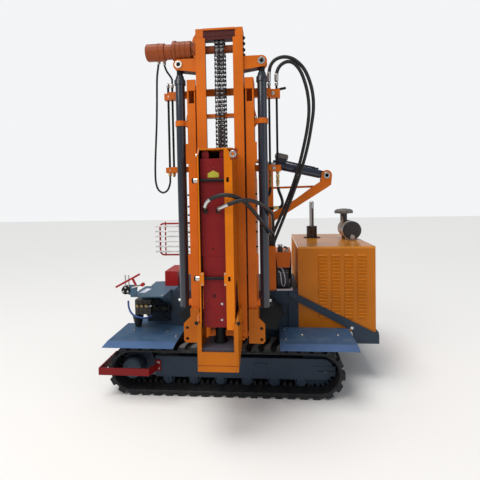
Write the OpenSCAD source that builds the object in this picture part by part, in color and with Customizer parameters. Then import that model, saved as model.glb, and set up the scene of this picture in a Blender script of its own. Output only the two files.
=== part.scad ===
// Crawler pile driver: a hydraulic hammer on a lifting leader, carried at the side of a tracked chassis.
// Millimetres. Origin on the ground under the middle of the undercarriage. +X points to the engine end,
// -Y to the side that carries the mast, +Z up.

/* [Tracks] */
// Length of a track, out to the tips of its lugs
track_len = 2060; // [1800:10:2300]
// Height of a track, out to the tips of its lugs
track_h = 430; // [400:5:480]
// Width of one track
track_w = 300; // [240:10:340]
// Distance between the middles of the two tracks
track_gauge = 1200; // [1160:10:1300]
// Thickness of the belt between lugs
belt_t = 25; // [20:1:32]
// Height of a lug above the belt
lug_h = 25; // [18:1:30]
// Number of lugs along one half of a track
lug_count = 42; // [36:1:46]
// Number of bottom rollers on each side
roller_count = 6; // [4:1:7]
// Diameter of a bottom roller
roller_d = 108; // [90:2:120]

/* [Frame] */
// Thickness of the frame's plates
plate_t = 12; // [8:1:16]
// Height of the deck's top above the ground
frame_top = 830; // [800:5:860]
// Height of the deck's floor above the ground
deck_z = 450; // [440:1:465]
// Distance of the frame's mast side from the middle
frame_y = 330; // [320:1:345]
// Length of the frame from the middle to the engine
frame_x = 670; // [650:5:690]
// Length of the frame from the middle to its control end
frame_back_x = 564; // [550:2:580]
// Height of the step plates' upper faces above the tracks
step_gap = 50; // [42:1:55]
// Length of the step plate at the control end
front_step_len = 620; // [560:5:630]
// Length of the step plate at the engine end
rear_step_len = 645; // [620:5:655]

/* [Engine hood] */
// Length of the hood along the machine
hood_len = 715; // [660:5:760]
// Depth of the hood across the machine
hood_depth = 1290; // [1150:10:1340]
// Height of the hood's panels
hood_h = 806; // [760:2:840]
// Height of the hood's lower edge above the ground
hood_z = 444; // [436:1:450]
// Thickness of a hood panel with its folded edges
panel_t = 20; // [14:1:26]
// Number of louvres in one column
louvre_rows = 19; // [14:1:20]
// Number of columns of louvres on one panel
louvre_cols = 4; // [2:1:4]

/* [Mast] */
// Place of the mast's middle along the machine
mast_x = 55; // [30:1:80]
// Height of the tilt pivot above the ground
pivot_z = 665; // [655:1:675]
// Diameter of the tilt pivot's shaft
pivot_d = 90; // [80:2:100]
// Height of the guide's top above the ground
guide_top = 2623; // [2610:1:2635]
// Height of the guide's lower edge above the ground
guide_z = 597; // [590:1:605]
// Half width of the guide, to its outer faces
guide_half = 256; // [252:1:262]
// Diameter of the lift cylinders' barrels
barrel_d = 72; // [64:1:80]
// Diameter of the lift cylinders' rods
rod_d = 45; // [38:1:48]
// Distance of a lift cylinder from the mast's middle
lift_off = 318; // [316:1:322]
// Diameter of the bolt holes in the guide's foot plates
foot_hole_d = 26; // [18:1:30]

/* [Leader] */
// Height of the leader's top above the ground
leader_top = 3000; // [2985:1:3020]
// Half width of the leader, to its outer faces
leader_half = 180; // [176:1:182]
// Width of one leader rail
rail_w = 58; // [50:1:62]
// Depth of one leader rail
rail_d = 120; // [110:1:124]
// Pitch radius of the chain's sprockets
sprocket_r = 60; // [54:1:63]
// Width of the duplex chain
chain_w = 77; // [60:1:80]

/* [Hammer] */
// Distance of the carriage's front face from the machine's middle
hammer_y = 1390; // [1380:1:1410]
// Half width of the carriage, to its outer faces
carriage_half = 120; // [118:1:123]
// Height of the carriage's top plate above the ground
carriage_top = 2060; // [2040:5:2080]
// Diameter of the hammer's chisel
chisel_d = 73; // [60:1:84]
// Half width of the pile cage, to its outer faces
cage_half = 142; // [140:1:148]
// Height of the anvil's lower face, on which the pile's head bears
anvil_z = 640; // [630:1:650]

/* [Tilt cylinder] */
// Diameter of the tilt cylinder's barrel
tilt_barrel_d = 78; // [70:1:84]
// Diameter of the tilt cylinder's rod
tilt_rod_d = 40; // [32:1:44]
// Diameter of the pins at the tilt cylinder's eyes
tilt_pin_d = 30; // [26:1:34]

/* [Hoses] */
// Diameter of the large hoses
hose_d = 24; // [20:1:26]
// Diameter of the small hoses
small_hose_d = 16; // [12:1:18]

/* [Hidden] */
$fn = 48;
orange = [0.84, 0.42, 0.07];
crimson = [0.49, 0.12, 0.15];
bright_red = [0.72, 0.13, 0.14];
dark_grey = [0.18, 0.21, 0.25];
steel_blue = [0.35, 0.42, 0.55];
rubber = [0.12, 0.12, 0.13];
black = [0.07, 0.07, 0.08];
silver = [0.72, 0.73, 0.74];

// Running gap of a shaft in its bore or of a shoe on its rail, on each side
run = 0.3;
// Overlap that joins two solids of one piece
weld = 2;

// Track outline
wheel_x = track_len / 2 - track_h / 2;
belt_r = track_h / 2 - lug_h;
inner_r = belt_r - belt_t;
track_loop = 4 * wheel_x + 2 * PI * belt_r;
lug_pitch = track_loop / lug_count;
lug_foot = lug_pitch * 0.52;
lug_tip = lug_pitch * 0.38;
track_y = track_gauge / 2;

// Track frame: a channel open downwards, with a fork round the idler
beam_y = track_y - track_w * 0.12;
beam_half = 88;
beam_z0 = 128;
beam_z1 = 312;
beam_x0 = -630;
beam_x1 = 940;
roller_pitch = 237;
roller_x0 = 74 - roller_pitch * (roller_count - 1) / 2;
roller_z = track_h / 2 - inner_r + roller_d / 2 + run;
roller_w = 120;
axle_d = 40;
side_plate = 14;
drive_d = 160;
sprocket_tip_r = inner_r - 3;
oval_steps = 20;
idler_r = inner_r * cos(90 / oval_steps) - run;

// Hood and its base
hood_x0 = frame_x;
hood_x1 = frame_x + hood_len;
hood_y0 = -frame_y;
hood_y1 = hood_y0 + hood_depth;
hood_top_z = hood_z + hood_h;
base_h = 60;
brace_gap = 10;
louvre_w = 82;
louvre_pitch = 32;
engine_y0 = hood_y0 + 220;
engine_y1 = hood_y1 - 200;

// Step plates: flat over the track, sloping beyond it
step_z = track_h + step_gap;
step_t = 5;
step_bend_y = track_y + track_w / 2;
step_front_y = 860;
step_drop = 14;
front_step_x = 2 - track_len / 2;
rear_step_x = 485;

// Frame and control end
frame_far_y = 500;
recess_d = 18;
recess_top = 707;
table_t = 12;
table_z = frame_top + table_t;
table_lap_x = -520;
valve_y = -350;
valve_z0 = 613;
valve_z1 = 754;
lever_y = -600;
rail_y = 400;
rail_tube = 20;
rail_bend = 45;

// Mast levels across the machine, measured towards the mast side
leader_y = -990;
guide_front = -1045;
guide_mid = -885;
tower_back = -640;
tower_top = 1990;
guide_wall = 12;
guide_inner = guide_half - 64;
// The front flanges end here; above are a slot and a block at the top of each side
flange_top = 2446;
block_z = 2541;
lift_y = -1000;
lift_foot_z = 868;
trunnion_z = 900;
trunnion_d = 56;
clamp_z = 2280;
clamp_h = 40;
gland_z = 2613;
gland_h = 25;
gland_cone_h = 32;
ear_z = 2745;
ear_r = 42;
ear_pin_d = 30;

// Leader
leader_z = 633;
strip_t = 12;
strip_half = 105;
head_z = 2862;
tail_z = leader_z + 132;
shaft_d = 50;
link_pitch = 31.75;
// Depth of the chain's side plates inside and outside the pitch line, and the angle of a step of its inner bend
chain_in = 10;
chain_out = 13;
chain_step = 15;

// Hammer
carriage_back = -1085;
carriage_z = 812;
side_t = 10;
// Below this height the carriage's side plates are only narrow arms
arm_z = 1145;
shoe_h = 105;
housing_top = 1988;
housing_seam = 1316;
cage_t = 12;
cage_z = 523;
cage_top = 905;
anvil_h = 40;
anvil_half = 112;

// Tilt linkage
horn_x = 946;
horn_z = 1917;
eye_x = 245;
eye_z = 2080;
cyl_y = -290;
tilt_len = norm([eye_x - horn_x, eye_z - horn_z]);
tilt_slope = atan2(horn_x - eye_x, eye_z - horn_z);
open_eye_d = tilt_pin_d + 14;
fork_y0 = cyl_y - 36;
fork_y1 = cyl_y + 36;

module box(x0, x1, y0, y1, z0, z1) {
    translate([x0, y0, z0])
        cube([x1 - x0, y1 - y0, z1 - z0]);
}

// A cylinder along X, Y or Z from one coordinate to the other
module bar_x(d, x0, x1, y, z) {
    translate([x0, y, z])
        rotate([0, 90, 0])
            cylinder(d = d, h = x1 - x0);
}

module bar_y(d, y0, y1, x, z) {
    translate([x, y1, z])
        rotate([90, 0, 0])
            cylinder(d = d, h = y1 - y0);
}

module bar_z(d, z0, z1, x, y) {
    translate([x, y, z0])
        cylinder(d = d, h = z1 - z0);
}

// A flat outline in X and Z, given thickness from y0 to y1
module plate_xz(y0, y1) {
    translate([0, y1, 0])
        rotate([90, 0, 0])
            linear_extrude(y1 - y0)
                children();
}

// A flat outline in Y and Z, given thickness from x0 to x1
module plate_yz(x0, x1) {
    translate([x0, 0, 0])
        rotate([90, 0, 90])
            linear_extrude(x1 - x0)
                children();
}

// A flat bar of width w between two points in X and Z
module link_xz(a, b, w, y0, y1) {
    n = w / 2 * [b[1] - a[1], a[0] - b[0]] / norm(b - a);
    plate_xz(y0, y1)
        polygon([a + n, b + n, b - n, a - n]);
}

module at_side(side) {
    if (side < 0)
        children();
    else
        mirror([0, 1, 0])
            children();
}

module mast_side(side) {
    translate([mast_x, 0, 0])
        if (side > 0)
            children();
        else
            mirror([1, 0, 0])
                children();
}

// Point of the track's outline at a length s along the belt and a height h above it
function track_point(s, h) =
    let(p = (s % track_loop + track_loop) % track_loop, straight = 2 * wheel_x, bend = PI * belt_r,
        r = belt_r + h)
    p < straight ? [wheel_x - p, -r]
    : p < straight + bend ? let(a = -90 - (p - straight) / belt_r * 180 / PI) [-wheel_x + r * cos(a),
        r * sin(a)]
    : p < 2 * straight + bend ? [-wheel_x + p - straight - bend, r]
    : let(a = 90 - (p - 2 * straight - bend) / belt_r * 180 / PI) [wheel_x + r * cos(a), r * sin(a)];

function lug_points(s) = [
    track_point(s - lug_foot / 2, 0),
    track_point(s - lug_tip / 2, lug_h),
    track_point(s + lug_tip / 2, lug_h),
    track_point(s + lug_foot / 2, 0),
    track_point(s + lug_pitch / 2, 0)
];

function track_outline(phase) = [for (i = [0 : lug_count - 1]) each lug_points((i + phase) * lug_pitch)];

function oval(r, steps) = [
    for (i = [0 : steps]) [wheel_x + r * sin(180 * i / steps), -r * cos(180 * i / steps)],
    for (i = [0 : steps]) [-wheel_x - r * sin(180 * i / steps), r * cos(180 * i / steps)]
];

// One half of the belt's width, its lugs half a pitch away from the other half's
module track_half(phase, y0, y1) {
    translate([0, 0, track_h / 2])
        plate_xz(y0, y1)
            difference() {
                polygon(track_outline(phase));
                polygon(oval(inner_r, oval_steps));
            }
}

module track() {
    color(rubber) {
        track_half(0, -track_y - track_w / 2, -track_y);
        track_half(0.5, -track_y, -track_y + track_w / 2);
    }
}

module track_left() {
    track();
}

module track_right() {
    at_side(1)
        track();
}

module beam_outline() {
    translate([beam_x0, beam_z0])
        square([beam_x1 - beam_x0 - beam_half, beam_z1 - beam_z0]);
    translate([beam_x1 - beam_half, (beam_z0 + beam_z1) / 2])
        circle(r = (beam_z1 - beam_z0) / 2);
}

module track_frame() {
    mid_z = (beam_z0 + beam_z1) / 2;
    color(dark_grey)
        difference() {
            union() {
                plate_xz(-beam_y - beam_half, -beam_y + beam_half)
                    beam_outline();
                for (i = [0 : roller_count - 1])
                    bar_y(70, -beam_y - beam_half, -beam_y + beam_half, roller_x0 + i * roller_pitch,
                        roller_z);
                // Mount of the drive at the other end, with its flange
                box(-wheel_x, beam_x0 + weld, -beam_y + beam_half - side_plate, -beam_y + beam_half,
                    beam_z0, beam_z1);
                bar_y(220, -beam_y + beam_half - side_plate, -beam_y + beam_half, -wheel_x, track_h / 2);
            }
            // The channel's inside, where the rollers and the idler turn
            box(beam_x0 - 1, beam_x1 + 10, -beam_y - beam_half + side_plate,
                -beam_y + beam_half - side_plate, 0, 250);
            box(640, beam_x1 + 10, -beam_y - beam_half + side_plate, -beam_y + beam_half - side_plate, 0,
                beam_z1 + 1);
            bar_y(drive_d + 2 * run, -beam_y, -beam_y + beam_half + 1, -wheel_x, track_h / 2);
            for (i = [0 : roller_count - 1])
                bar_y(axle_d + 2 * run, -beam_y - beam_half - 1, -beam_y + beam_half + 1,
                    roller_x0 + i * roller_pitch, roller_z);
            // Slot in which the idler's axle is set to tension the track
            for (x = [790 : 12 : 850])
                bar_y(axle_d + 2 * run, -beam_y - beam_half - 1, -beam_y + beam_half + 1, x, track_h / 2);
        }
}

module track_frame_left() {
    track_frame();
}

module track_frame_right() {
    at_side(1)
        track_frame();
}

module roller(x) {
    bar_y(roller_d, -beam_y - roller_w / 2, -beam_y + roller_w / 2, x, roller_z);
    bar_y(axle_d, -beam_y - beam_half, -beam_y + beam_half, x, roller_z);
}

module track_wheels() {
    color(dark_grey) {
        for (i = [0 : roller_count - 1])
            roller(roller_x0 + i * roller_pitch);
        bar_y(2 * idler_r, -beam_y - 50, -beam_y + 50, wheel_x, track_h / 2);
        bar_y(axle_d, -beam_y - beam_half, -beam_y + beam_half, wheel_x, track_h / 2);
        bar_y(2 * sprocket_tip_r, -beam_y - 20, -beam_y + 15, -wheel_x, track_h / 2);
        bar_y(drive_d, -beam_y - beam_half + 10, -beam_y + beam_half, -wheel_x, track_h / 2);
    }
}

module track_wheels_left() {
    track_wheels();
}

module track_wheels_right() {
    at_side(1)
        track_wheels();
}

// The cross frame that joins the two track frames and carries the deck
module carbody() {
    inner = beam_y - beam_half;
    color(dark_grey) {
        box(-520, 620, -330, 330, 200, deck_z);
        for (x = [-430, 430])
            box(x - 70, x + 70, -inner, inner, 190, 300);
        // Motor housings behind the drive sprockets
        for (side = [-1, 1])
            at_side(side)
                bar_y(130, -inner, -200, -wheel_x, track_h / 2);
        box(-wheel_x - 60, -518, -260, 260, 170, 270);
    }
}

module main_frame() {
    color(dark_grey)
        difference() {
            box(-frame_back_x, frame_x, -frame_y, frame_far_y, deck_z, frame_top);
            box(-frame_back_x + plate_t, frame_x - plate_t, -frame_y + plate_t + recess_d,
                frame_far_y - plate_t, deck_z + plate_t, frame_top - plate_t);
            // Recess in the wall beside the mast
            box(150, 578, -frame_y - 1, -frame_y + recess_d, deck_z + 20, recess_top);
        }
}

// The arm that reaches over the track and holds the tilt pivot
module mast_carrier() {
    color(black)
        difference() {
            translate([mast_x, 0, 0])
                plate_xz(tower_back + 15, -frame_y)
                    polygon([
                        [-420, 560], [420, 560], [420, 630], [470, 675], [375, 770], [250, 745],
                        [-250, 745], [-375, 770], [-470, 675], [-420, 630]
                    ]);
            bar_y(pivot_d + 2 * run, tower_back, -frame_y + 1, mast_x, pivot_z);
        }
}

module step_plate(x0, x1) {
    color(steel_blue) {
        plate_yz(x0, x1)
            polygon([
                [-step_front_y, step_z - step_drop], [-step_bend_y, step_z], [-frame_y, step_z],
                [-frame_y, step_z - step_t], [-step_bend_y, step_z - step_t], [-step_front_y,
                    step_z - step_drop - step_t]
            ]);
        for (x = [x0 + 80, x1 - 80])
            box(x - 25, x + 25, -620, -frame_y, step_z - 30, step_z - step_t + 1);
    }
}

module step_plate_front() {
    step_plate(front_step_x, front_step_x + front_step_len);
    // Lap past the frame's end
    color(steel_blue)
        box(front_step_x, -frame_back_x - 1, -frame_y - weld, -262, step_z - step_t, step_z);
}

module step_plate_rear() {
    step_plate(rear_step_x, rear_step_x + rear_step_len);
}

// Rows of louvres as one toothed outline: y is the height of the teeth, x runs along the rows
function louvre_teeth(rows, pitch, depth) = [
    for (i = [0 : rows - 1]) each [[-depth, i * pitch], [0, i * pitch + pitch * 0.62]],
    [0.1, rows * pitch], [panel_t / 2, rows * pitch], [panel_t / 2, 0]
];

module hood_front() {
    col_pitch = 120;
    first_x = hood_x0 + 190;
    color(orange) {
        box(hood_x0, hood_x1, hood_y0, hood_y0 + panel_t, hood_z, hood_top_z - panel_t);
        for (i = [0 : louvre_cols - 1])
            plate_yz(first_x + i * col_pitch, first_x + i * col_pitch + louvre_w)
                translate([hood_y0, hood_z + 127])
                    polygon(louvre_teeth(louvre_rows, louvre_pitch, 8));
    }
}

module hood_back() {
    color(orange)
        box(hood_x0, hood_x1, hood_y1 - panel_t, hood_y1, hood_z, hood_top_z - panel_t);
}

module hood_inner() {
    louvre_z = frame_top + 50;
    color(orange) {
        box(hood_x0, hood_x0 + panel_t, hood_y0 + panel_t, hood_y1 - panel_t, hood_z + base_h,
            hood_top_z - panel_t);
        for (y = [560, 680, 800])
            plate_xz(y, y + louvre_w)
                translate([hood_x0, louvre_z])
                    polygon(louvre_teeth(9, louvre_pitch, 8));
    }
}

module hood_outer() {
    color(orange)
        box(hood_x1 - panel_t, hood_x1, hood_y0 + panel_t, hood_y1 - panel_t, hood_z, hood_top_z - panel_t);
}

module hood_top() {
    color(orange)
        box(hood_x0, hood_x1, hood_y0, hood_y1, hood_top_z - panel_t, hood_top_z);
}

// The engine's bearers and the brace that ties them to the frame
module hood_base() {
    color(dark_grey) {
        for (y = [engine_y0 - 20, engine_y1 - 60])
            box(frame_x, hood_x1 - panel_t, y, y + 80, hood_z, hood_z + base_h);
        // Cross member under the outer end of the hood
        box(hood_x1 - 60, hood_x1 + 25, hood_y0 - brace_gap, hood_y1 - 40, hood_z - 84, hood_z);
        plate_xz(hood_y0 - brace_gap - plate_t, hood_y0 - brace_gap)
            polygon([
                [586, 831], [607, 838], [671, 795], [1410, 425], [1410, 340], [1185, 340], [1160,
                    469], [674, 722], [578, 787]
            ]);
        // Pad between the brace and the frame's corner post
        box(600, 660, hood_y0 - brace_gap - 1, -frame_y, 745, 790);
    }
}

module engine_block() {
    color(dark_grey)
        box(hood_x0 + 130, hood_x1 - 110, engine_y0, engine_y1, hood_z + base_h, hood_top_z - 190);
}

module exhaust() {
    translate([885, 520, hood_top_z])
        color(silver)
            rotate_extrude()
                polygon([[0, 0], [95, 0], [95, 6], [59, 6], [59, 134], [26, 134], [26, 402], [0, 402]]);
}

module air_cleaner() {
    x = 1280;
    y0 = 200;
    y1 = 550;
    z = hood_top_z + 105;
    color(black) {
        bar_y(192, y0, y1, x, z);
        bar_y(200, y0 + 14, y0 + 24, x, z);
        for (y = [260, 490])
            box(x - 60, x + 60, y - 15, y + 15, hood_top_z, z - 60);
        // Neck and rain cap
        translate([x - 52, 400, z])
            rotate_extrude()
                polygon([
                    [0, 40], [37, 40], [37, 170], [60, 176], [101, 178], [99, 196], [70, 220], [30, 230], [0, 230]
                ]);
        // Drain at the front's lower edge
        bar_y(50, y0 - 22, y0 + 1, x, z - 70);
    }
}

module oil_tank() {
    x0 = 461;
    x1 = 613;
    y0 = -250;
    y1 = 160;
    foot = 16;
    z0 = 1038;
    z1 = 1185;
    color(orange)
        box(x0, x1, y0, y1, z0, z1);
    color(black) {
        translate([505, -200, z1 - 1])
            rotate_extrude()
                polygon([[0, 0], [26, 0], [26, 40], [20, 44], [20, 58], [26, 60], [26, 72], [0, 77]]);
        bar_z(34, z1 - 1, z1 + 24, 572, -200);
        for (x = [x0, x1 - foot])
            for (y = [y0, y1 - foot])
                box(x, x + foot, y, y + foot, frame_top, z0 + 1);
    }
}

module battery() {
    color(black) {
        box(467, 583, -228, -60, frame_top, 1012);
        box(463, 587, -232, -56, 985, 1008);
        for (y = [-200, -90])
            bar_z(22, 1011, 1027, 500, y);
    }
}

module tool_box() {
    color(bright_red)
        box(-660, -530, -190, 190, table_z, 990);
}

module control_table() {
    gusset_x = -800;
    color(steel_blue)
        translate([0, 0, frame_top])
            linear_extrude(table_t)
                polygon([
                    [-866, lever_y], [-556, lever_y], [-556, -frame_y], [table_lap_x,
                        -frame_y], [table_lap_x, 200],
                    [-719, 200], [-719, 37], [-820, 14], [-807, -203], [-860, -203]
                ]);
    color(dark_grey) {
        // Gussets on the frame's end, and the strap that holds the valve
        for (y = [-260, -20])
            plate_xz(y, y + 10)
                polygon([
                    [-frame_back_x, 640], [-frame_back_x, frame_top + 1], [gusset_x, frame_top + 1], [gusset_x, 800]
                ]);
        box(-850, -790, valve_y - 5, valve_y + 5, valve_z1, frame_top + 1);
    }
}

module control_levers() {
    y0 = lever_y - 6;
    y1 = lever_y + 10;
    color(black) {
        // Bracket that stands on the table's corner
        plate_xz(y1 - weld, y1 + 10)
            polygon([[-862, table_z], [-935, 875], [-935, 930], [-880, 942], [-800, 938], [-815, table_z]]);
        bar_y(76, y0, y1, -909, 895);
        link_xz([-850, 918], [-752, 945], 12, y0, y1);
    }
    color(bright_red) {
        link_xz([-1001, 922], [-775, 1041], 18, y0, y1);
        link_xz([-843, 1002], [-806, 925], 16, y0, y1);
        bar_y(34, y0 - 6, y1 + 6, -748, 947);
    }
    color(silver)
        for (x = [-912, -880])
            bar_z(12, 925, 1033, x, y1 - 6);
}

module control_valve() {
    sleeve_x = -891;
    color(silver) {
        box(-900, -745, valve_y - 55, valve_y + 55, valve_z0, valve_z1);
        for (x = [-870, -825, -780])
            bar_y(30, valve_y - 85, valve_y - 54, x, 700);
        bar_x(34, -746, -715, valve_y, 680);
        bar_z(34, valve_z0 - 26, valve_z0 + 1, -790, valve_y);
    }
    color(black)
        translate([sleeve_x, valve_y, step_z])
            rotate_extrude()
                polygon([[0, 0], [29, 0], [54, 105], [30, 112], [22, 134], [0, 134]]);
}

// A quarter bend of the rail's tube about a centre in X and Z
module rail_corner(x, z, turn) {
    translate([x, rail_y, z])
        rotate([90, 0, 0])
            rotate([0, 0, turn])
                rotate_extrude(angle = 90)
                    translate([rail_bend, 0])
                        circle(d = rail_tube);
}

module guard_rail() {
    left = -880;
    right = -450;
    low = 1075;
    high = 1440;
    color(bright_red) {
        bar_x(rail_tube, left + rail_bend, right, rail_y, low);
        bar_x(rail_tube, left + rail_bend, right - rail_bend, rail_y, high);
        bar_z(rail_tube, low + rail_bend, high - rail_bend, left, rail_y);
        bar_z(rail_tube, frame_top, high - rail_bend, right, rail_y);
        rail_corner(left + rail_bend, low + rail_bend, 180);
        rail_corner(left + rail_bend, high - rail_bend, 90);
        rail_corner(right - rail_bend, high - rail_bend, 0);
        bar_z(16, low - 5, high + 23, -816, rail_y);
    }
    color(silver)
        for (i = [0 : 5])
            bar_x(12, -935, right, rail_y, 1115 + i * 58.8);
}

// A bent strip round the drive's end of the track, bolted to the track frame's side
module track_guard() {
    side_y = -beam_y - beam_half;
    color(bright_red) {
        translate([0, 0, 199])
            linear_extrude(63)
                polygon([
                    [-1090, -806], [-640, -806], [-594, side_y - 8], [-608, side_y - 8], [-650,
                        -796], [-1080, -796],
                    [-1080, -430], [-1090, -430]
                ]);
        box(-628, -580, side_y - 10, side_y, 182, 281);
    }
}

module tilt_post() {
    x0 = 390;
    x1 = 447;
    y0 = -frame_y;
    y1 = -250;
    horn_r = 49;
    color(orange)
        difference() {
            union() {
                box(x0, x1, y0, y1, frame_top, 1970);
                plate_xz(y0, y1) {
                    polygon([
                        [x1 - weld, 1490], [956, 1807], [horn_x + 40, 1829], [horn_x + horn_r, horn_z],
                        [horn_x - horn_r, horn_z], [890, 1860], [828, 1822], [659, 1700], [x1 - weld, 1578]
                    ]);
                    translate([horn_x, horn_z])
                        circle(r = horn_r);
                }
                // Tie between the post and the arm
                link_xz([x1 - weld, 1807], [815, 1812], 13, cyl_y - 6, cyl_y + 6);
                // Trunk that takes the hoses down the post's front
                difference() {
                    box(x0 - 5, x1 + 15, y0 - 100, y0, 865, 1270);
                    box(x0, x1 + 10, y0 - 95, y0 - 5, 864, 1271);
                }
            }
            // Room for the cylinder's eye between the post's two pin plates
            translate([horn_x, cyl_y, horn_z])
                bar_y(110, -21, 21, 0, 0);
            box(850, 996, cyl_y - 21, cyl_y + 21, 1850, 1968);
            bar_y(tilt_pin_d + 2 * run, y0 - 1, y1 + 1, horn_x, horn_z);
        }
}

// One side of the guide: a deep tower below and a channel for the leader's shoes all the way up
module guide_side() {
    color(orange) {
        plate_yz(guide_half - guide_wall, guide_half)
            polygon([
                [guide_front, guide_z], [tower_back, guide_z], [tower_back, tower_top - 140],
                [guide_mid + 20, tower_top], [guide_mid, tower_top + 20], [guide_mid,
                    guide_top], [guide_front, guide_top]
            ]);
        box(guide_inner, guide_half, guide_front, guide_front + guide_wall, guide_z, flange_top);
        box(guide_inner, guide_inner + 9, guide_front, guide_front + guide_wall, flange_top - weld,
            block_z + weld);
        box(guide_inner - 4, guide_half - 5, guide_front - 8, guide_front + guide_wall, block_z, guide_top);
        box(guide_inner, guide_half, guide_mid - guide_wall, guide_mid, guide_z, guide_top);
        // Housings of the sliding shoes' adjusters
        for (z = [1131, 1985])
            box(guide_half - 1, guide_half + 18, guide_front, guide_front + guide_wall, z, z + 154);
    }
}

module foot_plate() {
    color(orange)
        difference() {
            plate_xz(guide_front - 18, guide_front + 1)
                polygon([
                    [guide_inner, guide_z], [guide_half + 44, guide_z], [guide_half + 60, guide_z + 18],
                    [guide_half + 60, guide_z + 149], [guide_half + 6, guide_z + 204], [guide_half + 6,
                        guide_z + 266],
                    [guide_inner, guide_z + 266]
                ]);
            for (z = [guide_z + 30, guide_z + 116])
                bar_y(foot_hole_d, guide_front - 30, guide_front + 20, guide_half + 33, z);
        }
}

// Boss that carries the foot of a lift cylinder, and the clamp round its barrel
module barrel_mounts() {
    color(orange)
        difference() {
            union() {
                bar_x(trunnion_d, guide_half - 1, lift_off - barrel_d / 2 - 1, lift_y, trunnion_z);
                bar_z(barrel_d + 14, clamp_z, clamp_z + clamp_h, lift_off, lift_y);
                box(guide_half - 1, lift_off, lift_y - 20, lift_y + 20, clamp_z, clamp_z + clamp_h);
                plate_xz(lift_y - 6, lift_y + 6)
                    polygon([
                        [guide_half - 1, clamp_z - 30], [lift_off - barrel_d / 2 - 2, clamp_z + 5],
                        [lift_off - barrel_d / 2 - 2, clamp_z + clamp_h - 5], [guide_half - 1,
                            clamp_z + clamp_h + 95]
                    ]);
            }
            bar_z(barrel_d + 2 * run, clamp_z - 1, clamp_z + clamp_h + 1, lift_off, lift_y);
            bar_x(ear_pin_d + 2 * run, guide_half + 4, lift_off, lift_y, trunnion_z);
        }
}

module mast_guide() {
    for (side = [-1, 1])
        mast_side(side) {
            guide_side();
            foot_plate();
            barrel_mounts();
        }
    color(orange) {
        // Cross plates behind the leader
        for (z = [guide_z, 1150, 1750])
            box(mast_x - guide_half + 1, mast_x + guide_half - 1, guide_mid - guide_wall, guide_mid, z,
                z + 130);
        box(mast_x - guide_half + 1, mast_x + guide_half - 1, guide_mid - guide_wall, guide_mid, 2535,
            2591);
        for (z = [guide_z, 1200, 1720])
            box(mast_x - guide_half + 1, mast_x + guide_half - 1, tower_back - guide_wall, tower_back, z,
                z + 130);
        box(mast_x - guide_half + 1, mast_x + guide_half - 1, guide_mid, tower_back, guide_z, guide_z + 12);
        bar_y(pivot_d, tower_back - 60, -frame_y - 1, mast_x, pivot_z);
        // Arm to the tilt cylinder's rod, with a fork round the rod's eye
        plate_yz(eye_x - 80, eye_x - 68)
            polygon([
                [tower_back - guide_wall, 1720], [tower_back + weld, 1720], [-345, 2038], [fork_y1,
                    2038], [fork_y1, 2122],
                [tower_back, 2122], [guide_mid - 4, 2050], [guide_mid - 4,
                    1950], [tower_back - guide_wall, 1850]
            ]);
        for (y = [fork_y0, fork_y1 - guide_wall])
            plate_xz(y, y + guide_wall)
                polygon([
                    [eye_x - 80, 2038], [eye_x + 15, 2038], [eye_x + 38, 2060], [eye_x + 38,
                        2100], [eye_x + 15, 2122],
                    [eye_x - 80, 2122]
                ]);
        bar_y(tilt_pin_d, fork_y0 - 8, fork_y1 + 8, eye_x, eye_z);
    }
}

module lift_barrel() {
    color(black)
        difference() {
            union() {
                bar_z(barrel_d, lift_foot_z, gland_z, lift_off, lift_y);
                bar_z(barrel_d + 8, gland_z - 1, gland_z + gland_h, lift_off, lift_y);
                translate([lift_off, lift_y, gland_z + gland_h - 0.5])
                    cylinder(d1 = barrel_d + 2, d2 = rod_d + 12, h = gland_cone_h);
                bar_x(ear_pin_d, guide_half + 6, lift_off, lift_y, trunnion_z);
            }
            bar_z(rod_d + 10, lift_foot_z + 80, gland_z, lift_off, lift_y);
            bar_z(rod_d + 2 * run, gland_z - 1, gland_z + gland_h + gland_cone_h + 1, lift_off, lift_y);
        }
    color(silver)
        bar_x(24, lift_off + barrel_d / 2 - 6, lift_off + barrel_d / 2 + 12, lift_y, 915);
}

module lift_barrel_left() {
    mast_side(-1)
        lift_barrel();
}

module lift_barrel_right() {
    mast_side(1)
        lift_barrel();
}

// Two pipes down the guide's side, with a clamp near each end
module pipe_rack(pipes, z_low, z_high, clamps) {
    color(black)
        for (x = pipes)
            bar_z(18, z_low, z_high, x, -860);
    color(orange)
        for (z = clamps) {
            box(min(pipes) - 25, max(pipes) + 27, -885, -838, z[0], z[1]);
            box(guide_half, min(pipes) + 15, -925, -884, z[0], z[1]);
        }
}

module pipes_left() {
    mast_side(-1)
        pipe_rack([418, 452], 1900, 2660, [[1932, 1975], [2522, 2574]]);
}

module pipes_right() {
    mast_side(1)
        pipe_rack([370, 430], 1900, 2640, [[1925, 1975], [2508, 2575]]);
    // Bar that rises from the upper clamp to the hoses' loop
    color(black)
        link_xz([409, 2568], [560, 2593], 18, -838.5, -828);
}

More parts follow.
